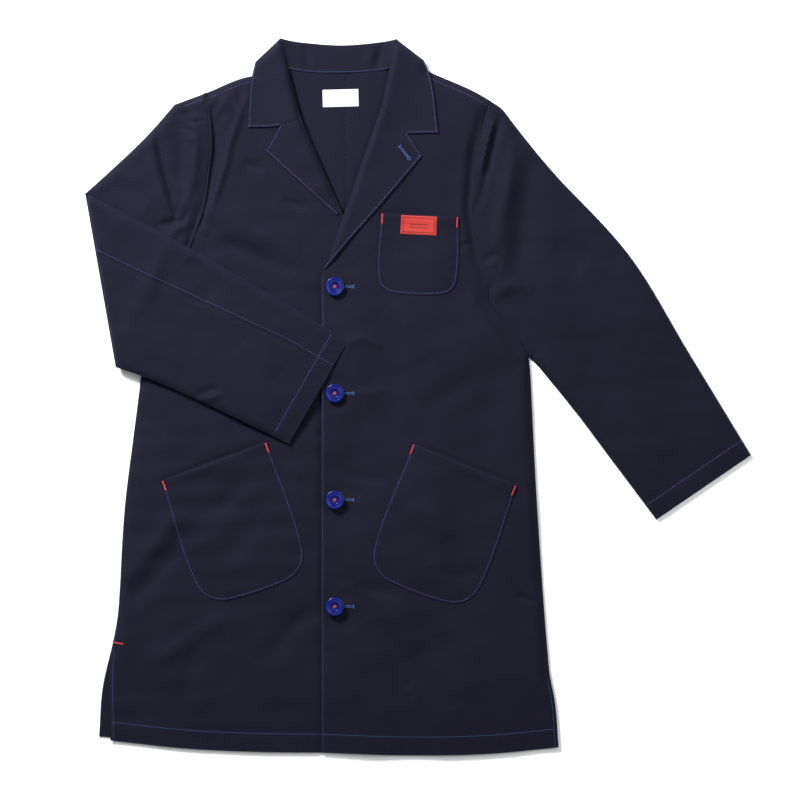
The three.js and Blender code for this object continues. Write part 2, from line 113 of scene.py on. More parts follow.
# ---------------------------------------------------------------- settings
class ClothSettings(bpy.types.PropertyGroup):
    """The twill that the coat is cut from."""

    colour: FloatVectorProperty(
        name="Twill", description="Colour of the twill", subtype="COLOR", size=4,
        min=0, max=1, default=(0.0064, 0.0059, 0.0142, 1))
    facing_colour: FloatVectorProperty(
        name="Facing", description="Colour of the facings inside the front edges", subtype="COLOR",
        size=4, min=0, max=1, default=(0.0062, 0.0057, 0.0132, 1))
    thickness: FloatProperty(
        name="Thickness", description="Thickness of one panel", unit="LENGTH", default=0.8 * MM,
        min=0.2 * MM, max=2 * MM)
    wale: FloatProperty(
        name="Wale", description="Distance from one twill line to the next", unit="LENGTH",
        default=0.9 * MM, min=0.3 * MM, max=4 * MM)
    spacing: FloatProperty(
        name="Mesh spacing", description="Distance between a panel's points", unit="LENGTH",
        default=3.6 * MM, min=2 * MM, max=20 * MM)


class ThreadSettings(bpy.types.PropertyGroup):
    """The sewing threads."""

    blue: FloatVectorProperty(
        name="Blue thread", description="Colour of topstitching and buttonholes", subtype="COLOR",
        size=4, min=0, max=1, default=(0.012, 0.046, 0.185, 1))
    red: FloatVectorProperty(
        name="Red thread", description="Colour of bartacks and button threads", subtype="COLOR",
        size=4, min=0, max=1, default=(0.42, 0.018, 0.028, 1))
    diameter: FloatProperty(
        name="Diameter", description="Thickness of the sewing thread", unit="LENGTH",
        default=0.52 * MM, min=0.1 * MM, max=2 * MM)
    stitch: FloatProperty(
        name="Stitch", description="Length of one topstitch", unit="LENGTH", default=2.7 * MM,
        min=1 * MM, max=8 * MM)
    gap: FloatProperty(
        name="Gap", description="Cloth showing between two topstitches", unit="LENGTH",
        default=0.35 * MM, min=0, max=4 * MM)


class ButtonSettings(bpy.types.PropertyGroup):
    """The four moulded buttons."""

    colour: FloatVectorProperty(
        name="Button", description="Colour of the buttons", subtype="COLOR", size=4, min=0, max=1,
        default=(0.0006, 0.0045, 0.105, 1))
    well_share: FloatProperty(
        name="Well", description="Radius of the recessed middle as a share of the button's",
        subtype="FACTOR", default=0.46, min=0.2, max=0.8)
    dish: FloatProperty(
        name="Dish", description="Depth of the recessed middle", unit="LENGTH", default=1.9 * MM,
        min=0.2 * MM, max=3 * MM)


class LabelSettings(bpy.types.PropertyGroup):
    """The two woven labels."""

    red: FloatVectorProperty(
        name="Chest label", description="Colour of the label on the chest pocket",
        subtype="COLOR", size=4, min=0, max=1, default=(0.46, 0.022, 0.016, 1))
    white: FloatVectorProperty(
        name="Neck label", description="Colour of the label inside the neck", subtype="COLOR",
        size=4, min=0, max=1, default=(0.86, 0.84, 0.87, 1))


class StageSettings(bpy.types.PropertyGroup):
    """The floor, the lights and the camera."""

    floor_colour: FloatVectorProperty(
        name="Floor", description="Colour of the floor", subtype="COLOR", size=4, min=0, max=1,
        default=(0.97, 0.97, 0.97, 1))
    camera_height: FloatProperty(
        name="Camera height", description="Height of the camera over the floor", unit="LENGTH",
        default=6.0, min=2, max=20)
    view_width: FloatProperty(
        name="View width", description="Width of the floor that the camera takes in",
        unit="LENGTH", default=1.12, min=0.5, max=5)
    key: FloatProperty(
        name="Key light", description="Power of the large soft light", unit="POWER",
        default=150, min=0, max=1000)
    sky: FloatProperty(
        name="Sky", description="Strength of the even light all round", default=0.34, min=0, max=5)


# ---------------------------------------------------------------- points, lines and outlines
def spot(node, across, up):
    """A point of the plan, given as shares of a node's box."""
    low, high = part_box(node)
    return np.array([low[0] + across * (high[0] - low[0]), low[1] + up * (high[1] - low[1])])


def line(node, *shares):
    """An open line of the plan through points given as shares of a node's box."""
    return np.array([spot(node, *share) for share in shares])


def plate_loop(node, underside):
    """The corners round a node's flat top, or its flat underside, counter-clockwise from above."""
    mesh = frame["nodes"][node].data
    mesh.calc_loop_triangles()
    points = np.array([v.co for v in mesh.vertices])
    edges = set()
    for triangle in mesh.loop_triangles:
        a, b, c = points[list(triangle.vertices)]
        normal = np.cross(b - a, c - a)
        upright = normal[2] / (np.linalg.norm(normal) + 1e-20)
        if (-upright if underside else upright) < FLAT_ENOUGH:
            continue
        if not underside and a[2] < points[:, 2].max() - 0.02 * MM:
            continue
        corners = [tuple(np.round(p[:2] * GRID).astype(int)) for p in (a, b, c)]
        for start, end in zip(corners, corners[1:] + corners[:1]):
            if (end, start) in edges:
                edges.remove((end, start))
            else:
                edges.add((start, end))
    following = dict(sorted(edges))
    loops = []
    while following:
        here = min(following)
        loop = []
        while here in following:
            loop.append(here)
            here = following.pop(here)
        loops.append(np.array(loop) / GRID)
    outer = max(loops, key=len)
    return outer[::-1] if underside else outer


def joint(name):
    """A joint of the frame, as its place, axis and limits."""
    return next(j for j in frame["joints"] if j["name"] == name)


def sideways(way):
    """The direction a quarter turn to the left of one in the plan."""
    return np.array([-way[1], way[0]])


def turning(points):
    """How sharply a closed line turns at each of its points, in degrees."""
    before = points - np.roll(points, 1, axis=0)
    after = np.roll(points, -1, axis=0) - points
    cross = before[:, 0] * after[:, 1] - before[:, 1] * after[:, 0]
    return np.degrees(np.abs(np.arctan2(cross, (before * after).sum(1))))


def reached_at(path):
    """How far along an open line each of its points lies."""
    return np.concatenate([[0], np.cumsum(np.linalg.norm(np.diff(path, axis=0), axis=1))])


def evenly(points, spacing):
    """An open line's points laid out again at an even spacing."""
    reached = reached_at(points)
    wanted = np.linspace(0, reached[-1], max(int(round(reached[-1] / spacing)), 1) + 1)
    return np.column_stack([np.interp(wanted, reached, points[:, i]) for i in range(2)])


def curved(points):
    """A smooth line through the given ones, by cubic steps that fit the uneven spans."""
    if len(points) < 3:
        return points
    steps = np.linalg.norm(np.diff(points, axis=0), axis=1)
    slopes = np.gradient(points, reached_at(points), axis=0)
    t = np.linspace(0, 1, 13)[:-1, None]
    parts = []
    for i, step in enumerate(steps):
        parts.append((2 * t**3 - 3 * t**2 + 1) * points[i]
                     + (t**3 - 2 * t**2 + t) * step * slopes[i]
                     + (3 * t**2 - 2 * t**3) * points[i + 1]
                     + (t**3 - t**2) * step * slopes[i + 1])
    return np.vstack([*parts, points[-1:]])


def smooth_outline(corners, spacing=2.5 * MM):
    """A closed outline with its shallow corners turned into curves and its sharp ones kept."""
    apart = np.linalg.norm(corners - np.roll(corners, 1, axis=0), axis=1) > 1.2 * MM
    corners = corners[apart]
    sharp = np.flatnonzero(turning(corners) > SHARP_TURN)
    ring = np.roll(corners, -sharp[0], axis=0)
    stops = [*(sharp - sharp[0]), len(corners)]
    closed = np.vstack([ring, ring[:1]])
    stretches = [evenly(curved(closed[a:b + 1]), spacing)[:-1] for a, b in zip(stops, stops[1:])]
    return np.vstack(stretches)


UNDERSIDE = ("back_left_panel", "back_right_panel", "collar_stand", "collar_back_fall",
             "left_sleeve_under", "left_forearm_under", "right_sleeve_under", "right_forearm_top")
outlines = {}


def outline(node):
    """The smoothed outline of a cloth plate, read off its node once."""
    if node not in outlines:
        outlines[node] = smooth_outline(plate_loop(node, node in UNDERSIDE))
    return outlines[node]


def edge(node, start, end):
    """The stretch of a plate's outline between two corners, counter-clockwise."""
    ring = outline(node)
    corners = turning(ring) > SHARP_TURN
    reach = [np.linalg.norm(ring - spot(node, *share), axis=1) for share in (start, end)]
    first, last = ((d - CORNER_REACH * (corners & (d < CORNER_REACH))).argmin() for d in reach)
    return ring[first:last + 1] if first < last else np.vstack([ring[first:], ring[:last + 1]])


def along(path, points):
    """Each point's distance from a line, its side (1 on the left) and its share of the way."""
    path = path[np.append(True, np.linalg.norm(np.diff(path, axis=0), axis=1) > 1e-7)]
    ways = np.diff(path, axis=0)
    lengths = np.linalg.norm(ways, axis=1)
    starts = np.concatenate([[0], np.cumsum(lengths)[:-1]])
    parts = []
    for group in np.array_split(points, max(len(points) * len(ways) // 4_000_000, 1)):
        offset = group[:, None] - path[None, :-1]
        t = np.clip((offset * ways).sum(2) / lengths**2, 0, 1)
        gone = offset - t[..., None] * ways
        distance = np.hypot(gone[..., 0], gone[..., 1])
        rows, best = np.arange(len(group)), distance.argmin(1)
        away = offset[rows, best]
        side = np.sign(ways[best, 0] * away[:, 1] - ways[best, 1] * away[:, 0])
        share = (starts[best] + t[rows, best] * lengths[best]) / lengths.sum()
        parts.append(np.column_stack([distance[rows, best], side, share]))
    return np.vstack(parts).T


def beside(path, distance):
    """A line moved to its left by a distance."""
    path = evenly(path, 2.5 * MM)
    ways = np.gradient(path, axis=0)
    ways /= np.linalg.norm(ways, axis=1)[:, None]
    return path + distance * np.column_stack([-ways[:, 1], ways[:, 0]])


def part_of(path, start, end):
    """The part of a line between two shares of its length."""
    steps = np.linalg.norm(np.diff(path, axis=0), axis=1)
    reached = np.concatenate([[0], np.cumsum(steps)]) / steps.sum()
    wanted = np.concatenate([[start], reached[(reached > start) & (reached < end)], [end]])
    return np.column_stack([np.interp(wanted, reached, path[:, i]) for i in range(2)])


def in_order(points):
    """The corners of a convex outline in counter-clockwise order."""
    away = points - points.mean(0)
    return points[np.argsort(np.arctan2(away[:, 1], away[:, 0]))]


def enclosed(points, ring):
    """Which points lie inside a closed outline."""
    inside = np.zeros(len(points), bool)
    for (ax, ay), (bx, by) in zip(ring, np.roll(ring, -1, axis=0)):
        crosses = (ay > points[:, 1]) != (by > points[:, 1])
        if ay != by:
            inside ^= crosses & (points[:, 0] < (bx - ax) * (points[:, 1] - ay) / (by - ay) + ax)
    return inside


# ---------------------------------------------------------------- the lie of the cloth
# Each relief takes points of the plan and their heights and returns new heights.
def rise_over(distance, reach, power):
    return 1 - (1 - np.clip(distance / reach, 0, 1)) ** power


def dipped(path, low, reach, power=3.0):
    """Cloth that comes down, or up, to a height along a line and rounds off over its reach."""
    def relief(points, z):
        return low + (z - low) * rise_over(along(path, points)[0], reach, power)
    return relief


def settled(*edges):
    """Layers that sink together towards edges: (line, share of the height kept, reach, power)."""
    def relief(points, z):
        keep = np.ones(len(points))
        for path, share, reach, power in edges:
            rise = rise_over(along(path, points)[0], reach, power)
            keep = np.minimum(keep, share + (1 - share) * rise)
        return z * keep
    return relief


def crease(path, width, height, ends=0.5):
    """A soft ridge along a line, or a valley if its height is negative, with faded ends."""
    def relief(points, z):
        distance, _, share = along(path, points)
        fade = np.clip(np.sin(np.pi * share), 0, 1) ** ends if ends else 1
        return z + height * np.exp(-(distance / width) ** 2) * fade
    return relief


def creases(node, *rows):
    """Creases on one panel: points as shares of its box, width and height in millimetres, ends."""
    return [crease(line(node, *points), width * MM, height * MM, *ends)
            for points, width, height, *ends in rows]


def bank(path, width, height):
    """Cloth that stands high on the left of a line and low on its right."""
    def relief(points, z):
        distance, side, share = along(path, points)
        fade = np.sin(np.pi * np.clip(share, 0, 1)) ** 0.7
        lean = side * (distance / width) * np.exp(0.5 - 0.5 * (distance / width) ** 2)
        return z + height * lean * fade
    return relief


def lifted(path, height, reach):
    """Cloth raised near a line and falling off over its reach."""
    def relief(points, z):
        return z + height * np.exp(-along(path, points)[0] / reach)
    return relief


def banded(path, depth, height):
    """A turned hem: the cloth is thicker from its edge to its row of stitches."""
    def relief(points, z):
        distance = along(path, points)[0]
        return z + height / (1 + np.exp(np.minimum((distance - depth) / (0.5 * MM), 500)))
    return relief


def puckered(path, depth, pitch, height, seed):
    """The small puckers that a row of stitches draws into the cloth beside it."""
    phase = np.random.default_rng(seed).uniform(0, 6, 3)
    length = np.linalg.norm(np.diff(path, axis=0), axis=1).sum()

    def relief(points, z):
        distance, _, share = along(path, points)
        turn = 2 * np.pi * share * length / pitch
        wave = np.sin(turn + phase[0] + 1.3 * np.sin(turn / 5.3 + phase[1])) * (
            0.6 + 0.4 * np.sin(turn / 8.7 + phase[2]))
        return z + height * wave * np.exp(-((distance - depth) / (0.7 * depth)) ** 2)
    return relief


def rippled(seed, height, size, lean=0.0, stretch=1.6):
    """Gentle waves all over a panel, longer along the leaning direction than across it."""
    dice = np.random.default_rng(seed)
    waves = [(dice.uniform(0.6, 1.5) / size, dice.uniform(0, np.pi), dice.uniform(0, 2 * np.pi))
             for _ in range(9)]
    turn = np.array([[math.cos(lean), math.sin(lean)], [-math.sin(lean), math.cos(lean)]])

    def relief(points, z):
        laid = points @ turn.T / np.array([stretch, 1])
        total = sum(np.sin(2 * np.pi * rate * (laid @ (np.cos(angle), np.sin(angle))) + start)
                    for rate, angle, start in waves)
        return z + height * total / 3
    return relief


def rolled(path, foot, height, width):
    """The soft roll of a collar: the cloth leaves the line low, swells, and lies down again."""
    def relief(points, z):
        distance, _, share = along(path, points)
        swell = height * (distance / width) * np.exp(1 - distance / width)
        z = z + swell * np.clip(6 * (1 - share), 0, 1)
        return foot + (z - foot) * rise_over(distance, width, 3)
    return relief


def crumpled(centre, radius, height, size, seed):
    """A patch of small irregular wrinkles that fades out over its radius."""
    waves = rippled(seed, height, size, seed, 2.2)

    def relief(points, z):
        fade = np.exp(-(((points - centre) ** 2).sum(1)) / radius**2)
        return z + waves(points, np.zeros(len(z))) * fade
    return relief


def pressed(button, room):
    """Cloth held down under a button, so that the button can tilt over it."""
    low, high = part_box(button)
    middle, radius, cap = np.array((low + high)[:2]) / 2, (high[0] - low[0]) / 2, low[2] - room

    def relief(points, z):
        near = np.clip(2 - np.hypot(*(points - middle).T) / (1.3 * radius), 0, 1)
        near = near**2 * (3 - 2 * near)
        return z - near * np.maximum(z - cap, 0)
    return relief


def tucked(seam, depth=1.15 * MM):
    """A seam allowance: on the seam's right the panel runs on, under its neighbour."""
    def relief(points, z):
        distance, side, _ = along(seam, points)
        past = np.clip(np.where(side < 0, distance, 0) / (1.2 * MM), 0, 1)
        return z - depth * past
    return relief


def over(base, clearance):
    """Cloth that lies on another panel and follows it, at a clearance."""
    def relief(points, z):
        return base.height(points) + clearance
    return relief


def level_at_least(base, clearance, level):
    """Cloth at a level of its own that is pushed up wherever the panel below stands higher."""
    def relief(points, z):
        below = base.height(points) + clearance
        return np.where(below > level, below, 0.65 * level + 0.35 * below)
    return relief


def swollen(sewn, height, reach):
    """A pocket's middle stands higher than its sewn edge."""
    def relief(points, z):
        return z + height * rise_over(along(sewn, points)[0], reach, 2)
    return relief


def sewn_down(base, sewn, clearance, reach):
    """A pocket's sewn edge comes down onto the front."""
    def relief(points, z):
        floor = base.height(points) + clearance
        return floor + (z - floor) * rise_over(along(sewn, points)[0], reach, 2)
    return relief


def extended(ring, seams, reach=4 * MM):
    """An outline moved outwards along its seams, to make room for the seam allowances."""
    ring = ring.copy()
    for seam in seams:
        distance, _, share = along(seam, ring)
        length = np.linalg.norm(np.diff(seam, axis=0), axis=1).sum()
        near = distance < 0.6 * MM
        fade = np.clip(np.minimum(share, 1 - share) * length / (7 * MM), 0, 1)
        ways = np.roll(ring, -1, axis=0) - np.roll(ring, 1, axis=0)
        outwards = np.column_stack([ways[:, 1], -ways[:, 0]])
        outwards /= np.linalg.norm(ways, axis=1)[:, None]
        ring += np.where(near, fade * reach, 0)[:, None] * outwards
    return ring


class Sheet:
    """One cut panel: its plate, the reliefs that shape it and the body that it moves with."""

    def __init__(self, node, level, *reliefs, body="torso", grain=90.0, ring=None, coarse=1.0,
                 joined=()):
        self.node = node
        self.level = level
        self.reliefs = list(reliefs)
        self.body = body
        self.grain = math.radians(grain)
        self.ring = outline(node) if ring is None else ring
        self.coarse = coarse
        self.joined = joined
        self.bend = None

    def height(self, points):
        z = np.full(len(points), self.level)
        for relief in self.reliefs:
            z = relief(points, z)
        return z

    def bending(self, a, b, start, end):
        """Records a bend between two bodies, from one point of the plan to another."""
        self.bend = (a, b, (*start, self.level), (*end, self.level))
        return self


BUTTONS = (1, 2, 3, 4)  # from the top one down
RIPPLE = 1.4 * MM  # height of the gentle waves in a panel
sheets = {}


def top_of(node):
    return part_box(node)[1][2]


# The seams that neighbouring panels share.
LEFT_ARMHOLE = edge("front_left_panel", (0.70, 0.69), (0.71, 0.96))
RIGHT_ARMHOLE = edge("front_right_panel", (0.40, 0.97), (0.30, 0.69))
LEFT_SIDE = edge("front_left_panel", (0.96, 0.12), (0.87, 0.58))
RIGHT_SIDE = edge("front_right_panel", (0.14, 0.58), (0.01, 0.16))
LEFT_UNDERARM = edge("front_left_panel", (0.87, 0.58), (0.70, 0.69))
RIGHT_UNDERARM = edge("front_right_panel", (0.30, 0.69), (0.14, 0.58))
LEFT_SHOULDER = part_of(edge("front_left_panel", (0.71, 0.96), (0.29, 0.99)), 0, 0.66)
RIGHT_SHOULDER = part_of(edge("front_right_panel", (0.74, 1.00), (0.40, 0.97)), 0.34, 1)
LEFT_HEM = edge("front_left_panel", (0.0, 0.0), (1.0, 0.01))
RIGHT_HEM = edge("front_right_panel", (0.0, 0.02), (1.0, 0.0))
LEFT_VENT = edge("front_left_panel", (1.0, 0.01), (0.96, 0.12))
RIGHT_VENT = edge("front_right_panel", (0.01, 0.16), (0.0, 0.02))
FRONT_EDGE = edge("front_left_panel", (0.0, 0.70), (0.0, 0.0))
LEFT_PEAK = spot("collar_back_fall", 0.83, 0.98)
RIGHT_PEAK = spot("collar_back_fall", 0.15, 1.0)
LEFT_ROLL = np.array([LEFT_PEAK, spot("lapel_left", 0.58, 1.0), spot("lapel_left", 0.0, 0.0)])
RIGHT_ROLL = np.array([RIGHT_PEAK, spot("lapel_right", 0.46, 1.0), spot("lapel_right", 1.0, 0.04)])

# The stitched seam along the folded forearm, from the fold to the cuff.
FOREARM_SEAM = ((0.034, 0.781), (0.141, 0.725), (0.786, 0.413), (0.945, 0.316))
SEAM_LEVEL = 8.2 * MM  # the height at which front and sleeve meet at the armhole
FRONT_SETTLE = settled(
    (LEFT_HEM, 0.40, 130 * MM, 1.7), (RIGHT_HEM, 0.40, 130 * MM, 1.7),
    (LEFT_SIDE, 0.26, 20 * MM, 3), (RIGHT_SIDE, 0.30, 20 * MM, 3),
    (LEFT_VENT, 0.34, 22 * MM, 2.5), (RIGHT_VENT, 0.36, 22 * MM, 2.5),
    (LEFT_UNDERARM, 0.55, 30 * MM, 2.2), (RIGHT_UNDERARM, 0.6, 24 * MM, 2.2),
    (LEFT_SHOULDER, 0.28, 18 * MM, 2.6), (RIGHT_SHOULDER, 0.32, 18 * MM, 2.6))


# The mouth of each patch pocket, from corner to corner; the rest of its outline is sewn down.
POCKETS = {
    "chest_pocket": ("left_front", (1.0, 0.95), (0.04, 1.0), 90, 1.3 * MM),
    "left_pocket": ("left_front", (1.0, 0.74), (0.28, 1.0), 68, 2.0 * MM),
    "right_pocket": ("right_front", (0.74, 1.0), (0.0, 0.75), 110, 2.0 * MM),
}


def mouth_groove(pocket, depth):
    """The shadowed gap just above a pocket's mouth."""
    _, start, end, *_ = POCKETS[pocket]
    return crease(beside(edge(pocket, start, end), -1.4 * MM), 2.2 * MM, depth, 0.4)


def make_back_sheets():
    """Two back panels, joined down the middle; only the inside of the neck shows from above."""
    for side, seed, armhole, side_seam in (("left", 3, LEFT_ARMHOLE, LEFT_SIDE),
                                           ("right", 4, RIGHT_ARMHOLE, RIGHT_SIDE)):
        node = f"back_{side}_panel"
        seam = line("back_left_panel", (0.0, 0.98), (0.0, 0.55))
        sheets[f"{side}_back"] = Sheet(
            node, 1.5 * MM,
            rippled(seed, 0.07 * MM, 70 * MM),
            lifted(line("back_left_panel", (-0.3, 1.0), (0.2, 1.0)), 1.4 * MM, 30 * MM),
            crease(seam, 1.4 * MM, -0.5 * MM, 0),
            crease(seam + (3.2 * MM, 0), 0.9 * MM, -0.3 * MM, 0),
            crease(line("back_left_panel", (-0.10, 0.93), (0.02, 0.76)), 16 * MM, 1.1 * MM),
            dipped(side_seam, 1.9 * MM, 10 * MM, 2),
            dipped(armhole, 1.9 * MM, 10 * MM, 2), coarse=1.9,
            joined=[line("back_left_panel", (0.0, 1.0), (0.0, 0.0))])


def make_front_sheets():
    """Each front carries its facing on the inside, and both sink together towards hem and sides."""
    left_waves = [
        rippled(11, RIPPLE, 120 * MM, math.radians(70)), rippled(12, 0.3 * RIPPLE, 42 * MM, 0.4),
    ]
    left_reliefs = [
        crease(beside(part_of(LEFT_UNDERARM, 0.1, 1), 7 * MM), 10 * MM, -3.4 * MM, 0.6),
        crease(beside(LEFT_ARMHOLE, 4 * MM), 7 * MM, -4.6 * MM, 0.5),
        crease(beside(part_of(LEFT_ARMHOLE, 0.1, 0.9), 17 * MM), 9 * MM, 1.2 * MM, 0.7),
        *creases(
            "front_left_panel",
            (((0.58, 0.745), (0.645, 0.75)), 3, -1.8),
            (((0.10, 0.60), (0.17, 0.612), (0.25, 0.598)), 6, 1.7),
            (((0.10, 0.525), (0.30, 0.535)), 7, 1.2),
            (((0.10, 0.41), (0.26, 0.40)), 8, -1.5),
            (((0.14, 0.25), (0.34, 0.235)), 9, -2.0),
            (((0.17, 0.24), (0.30, 0.16), (0.38, 0.10)), 15, -4.1),
            (((0.26, 0.23), (0.40, 0.15)), 15, 2.4),
            (((0.50, 0.18), (0.56, 0.07)), 16, -2.1),
            (((0.82, 0.236), (0.90, 0.224)), 4, -2.7),
            (((0.42, 0.50), (0.66, 0.56)), 14, -2.0),
            (((0.30, 0.66), (0.44, 0.58)), 18, 2.1),
        ),
    ]
    left_reliefs += [crumpled(spot(f"button_{i}", 1.6, 0.5), 40 * MM, 0.45 * MM, 26 * MM, 12 + i)
                     for i in BUTTONS]
    left_seams = [
        mouth_groove("chest_pocket", -1.2 * MM), mouth_groove("left_pocket", -1.7 * MM),
        crease(beside(LEFT_SHOULDER, 11 * MM), 1.5 * MM, -0.7 * MM, 0),
        dipped(LEFT_ARMHOLE, SEAM_LEVEL, 9 * MM, 2.2),
        banded(LEFT_HEM, 25 * MM, 0.5 * MM),
        puckered(LEFT_HEM, 14 * MM, 17 * MM, 0.35 * MM, 5),
        puckered(FRONT_EDGE, 6 * MM, 21 * MM, 0.22 * MM, 6),
        puckered(LEFT_VENT, 6 * MM, 15 * MM, 0.2 * MM, 7),
        *(pressed(f"button_{i}", 2.3 * MM) for i in BUTTONS),
    ]
    right_waves = [
        rippled(21, RIPPLE, 120 * MM, math.radians(-50)), rippled(22, 0.3 * RIPPLE, 42 * MM, 0.2),
    ]
    right_reliefs = [
        *creases(
            "front_right_panel",
            (((0.425, 0.955), (0.443, 0.908), (0.425, 0.846), (0.375, 0.775)), 8, -7.0, 0.4),
            (((0.582, 0.977), (0.51, 0.908), (0.475, 0.857), (0.395, 0.78)), 5.2, 4.4, 0.4),
        ),
        crumpled(spot("front_right_panel", 0.46, 0.95), 22 * MM, 1.0 * MM, 15 * MM, 23),
        crumpled(spot("front_right_panel", 0.40, 0.775), 26 * MM, 0.9 * MM, 17 * MM, 24),
        *creases(
            "front_right_panel",
            (((0.535, 0.985), (0.570, 0.945)), 6, -3.4),
            (((0.49, 0.965), (0.475, 0.925)), 7, 1.6),
            (((0.40, 0.768), (0.60, 0.735), (0.78, 0.712)), 11, -3.6),
            (((0.42, 0.80), (0.62, 0.765), (0.80, 0.74)), 14, 2.4),
            (((0.56, 0.872), (0.65, 0.862)), 5, -2.1),
            (((0.72, 0.815), (0.83, 0.806)), 5, -2.0),
            (((0.05, 0.215), (0.22, 0.275), (0.36, 0.335)), 13, -2.6),
            (((0.52, 0.204), (0.34, 0.17), (0.16, 0.126)), 13, 2.4),
            (((0.05, 0.255), (0.20, 0.31), (0.30, 0.36)), 13, 3.2),
            (((0.08, 0.50), (0.24, 0.485)), 12, -2.4),
            (((0.90, 0.37), (0.99, 0.375)), 7, -1.5),
            (((0.86, 0.47), (0.97, 0.465)), 7, -1.5),
            (((0.62, 0.13), (0.80, 0.20), (0.94, 0.23)), 16, -2.8),
            (((0.30, 0.06), (0.36, 0.18)), 15, -2.1),
        ),
    ]
    right_reliefs += [crumpled(spot(f"button_{i}", -1.2, 0.5), 34 * MM, 0.5 * MM, 26 * MM, 24 + i)
                      for i in BUTTONS]
    right_seams = [
        mouth_groove("right_pocket", -1.7 * MM),
        crease(beside(FRONT_EDGE, -1.6 * MM), 2.6 * MM, -1.5 * MM, 0),
        crease(beside(RIGHT_SHOULDER, 11 * MM), 1.5 * MM, -0.7 * MM, 0),
        dipped(RIGHT_ARMHOLE, SEAM_LEVEL - 0.6 * MM, 9 * MM, 2.2),
        banded(RIGHT_HEM, 25 * MM, 0.5 * MM),
        puckered(RIGHT_HEM, 14 * MM, 17 * MM, 0.35 * MM, 8),
        puckered(RIGHT_VENT, 6 * MM, 15 * MM, 0.2 * MM, 9),
    ]
    inside = (1.4 + 0.6) * MM  # how far a facing lies below its front
    sheets["left_front"] = Sheet(
        "front_left_panel", top_of("front_left_panel"), *left_waves, *left_reliefs,
        FRONT_SETTLE, *left_seams, joined=[LEFT_ARMHOLE, LEFT_UNDERARM])
    sheets["left_facing"] = Sheet(
        "front_left_facing", 0.0, over(sheets["left_front"], -inside), coarse=1.9)
    sheets["right_front"] = Sheet(
        "front_right_panel", top_of("front_right_panel"), *right_waves, *right_reliefs,
        FRONT_SETTLE, *right_seams, joined=[RIGHT_ARMHOLE, RIGHT_UNDERARM])
    sheets["right_facing"] = Sheet(
        "front_right_facing", 0.0, over(sheets["right_front"], -inside), coarse=1.9)


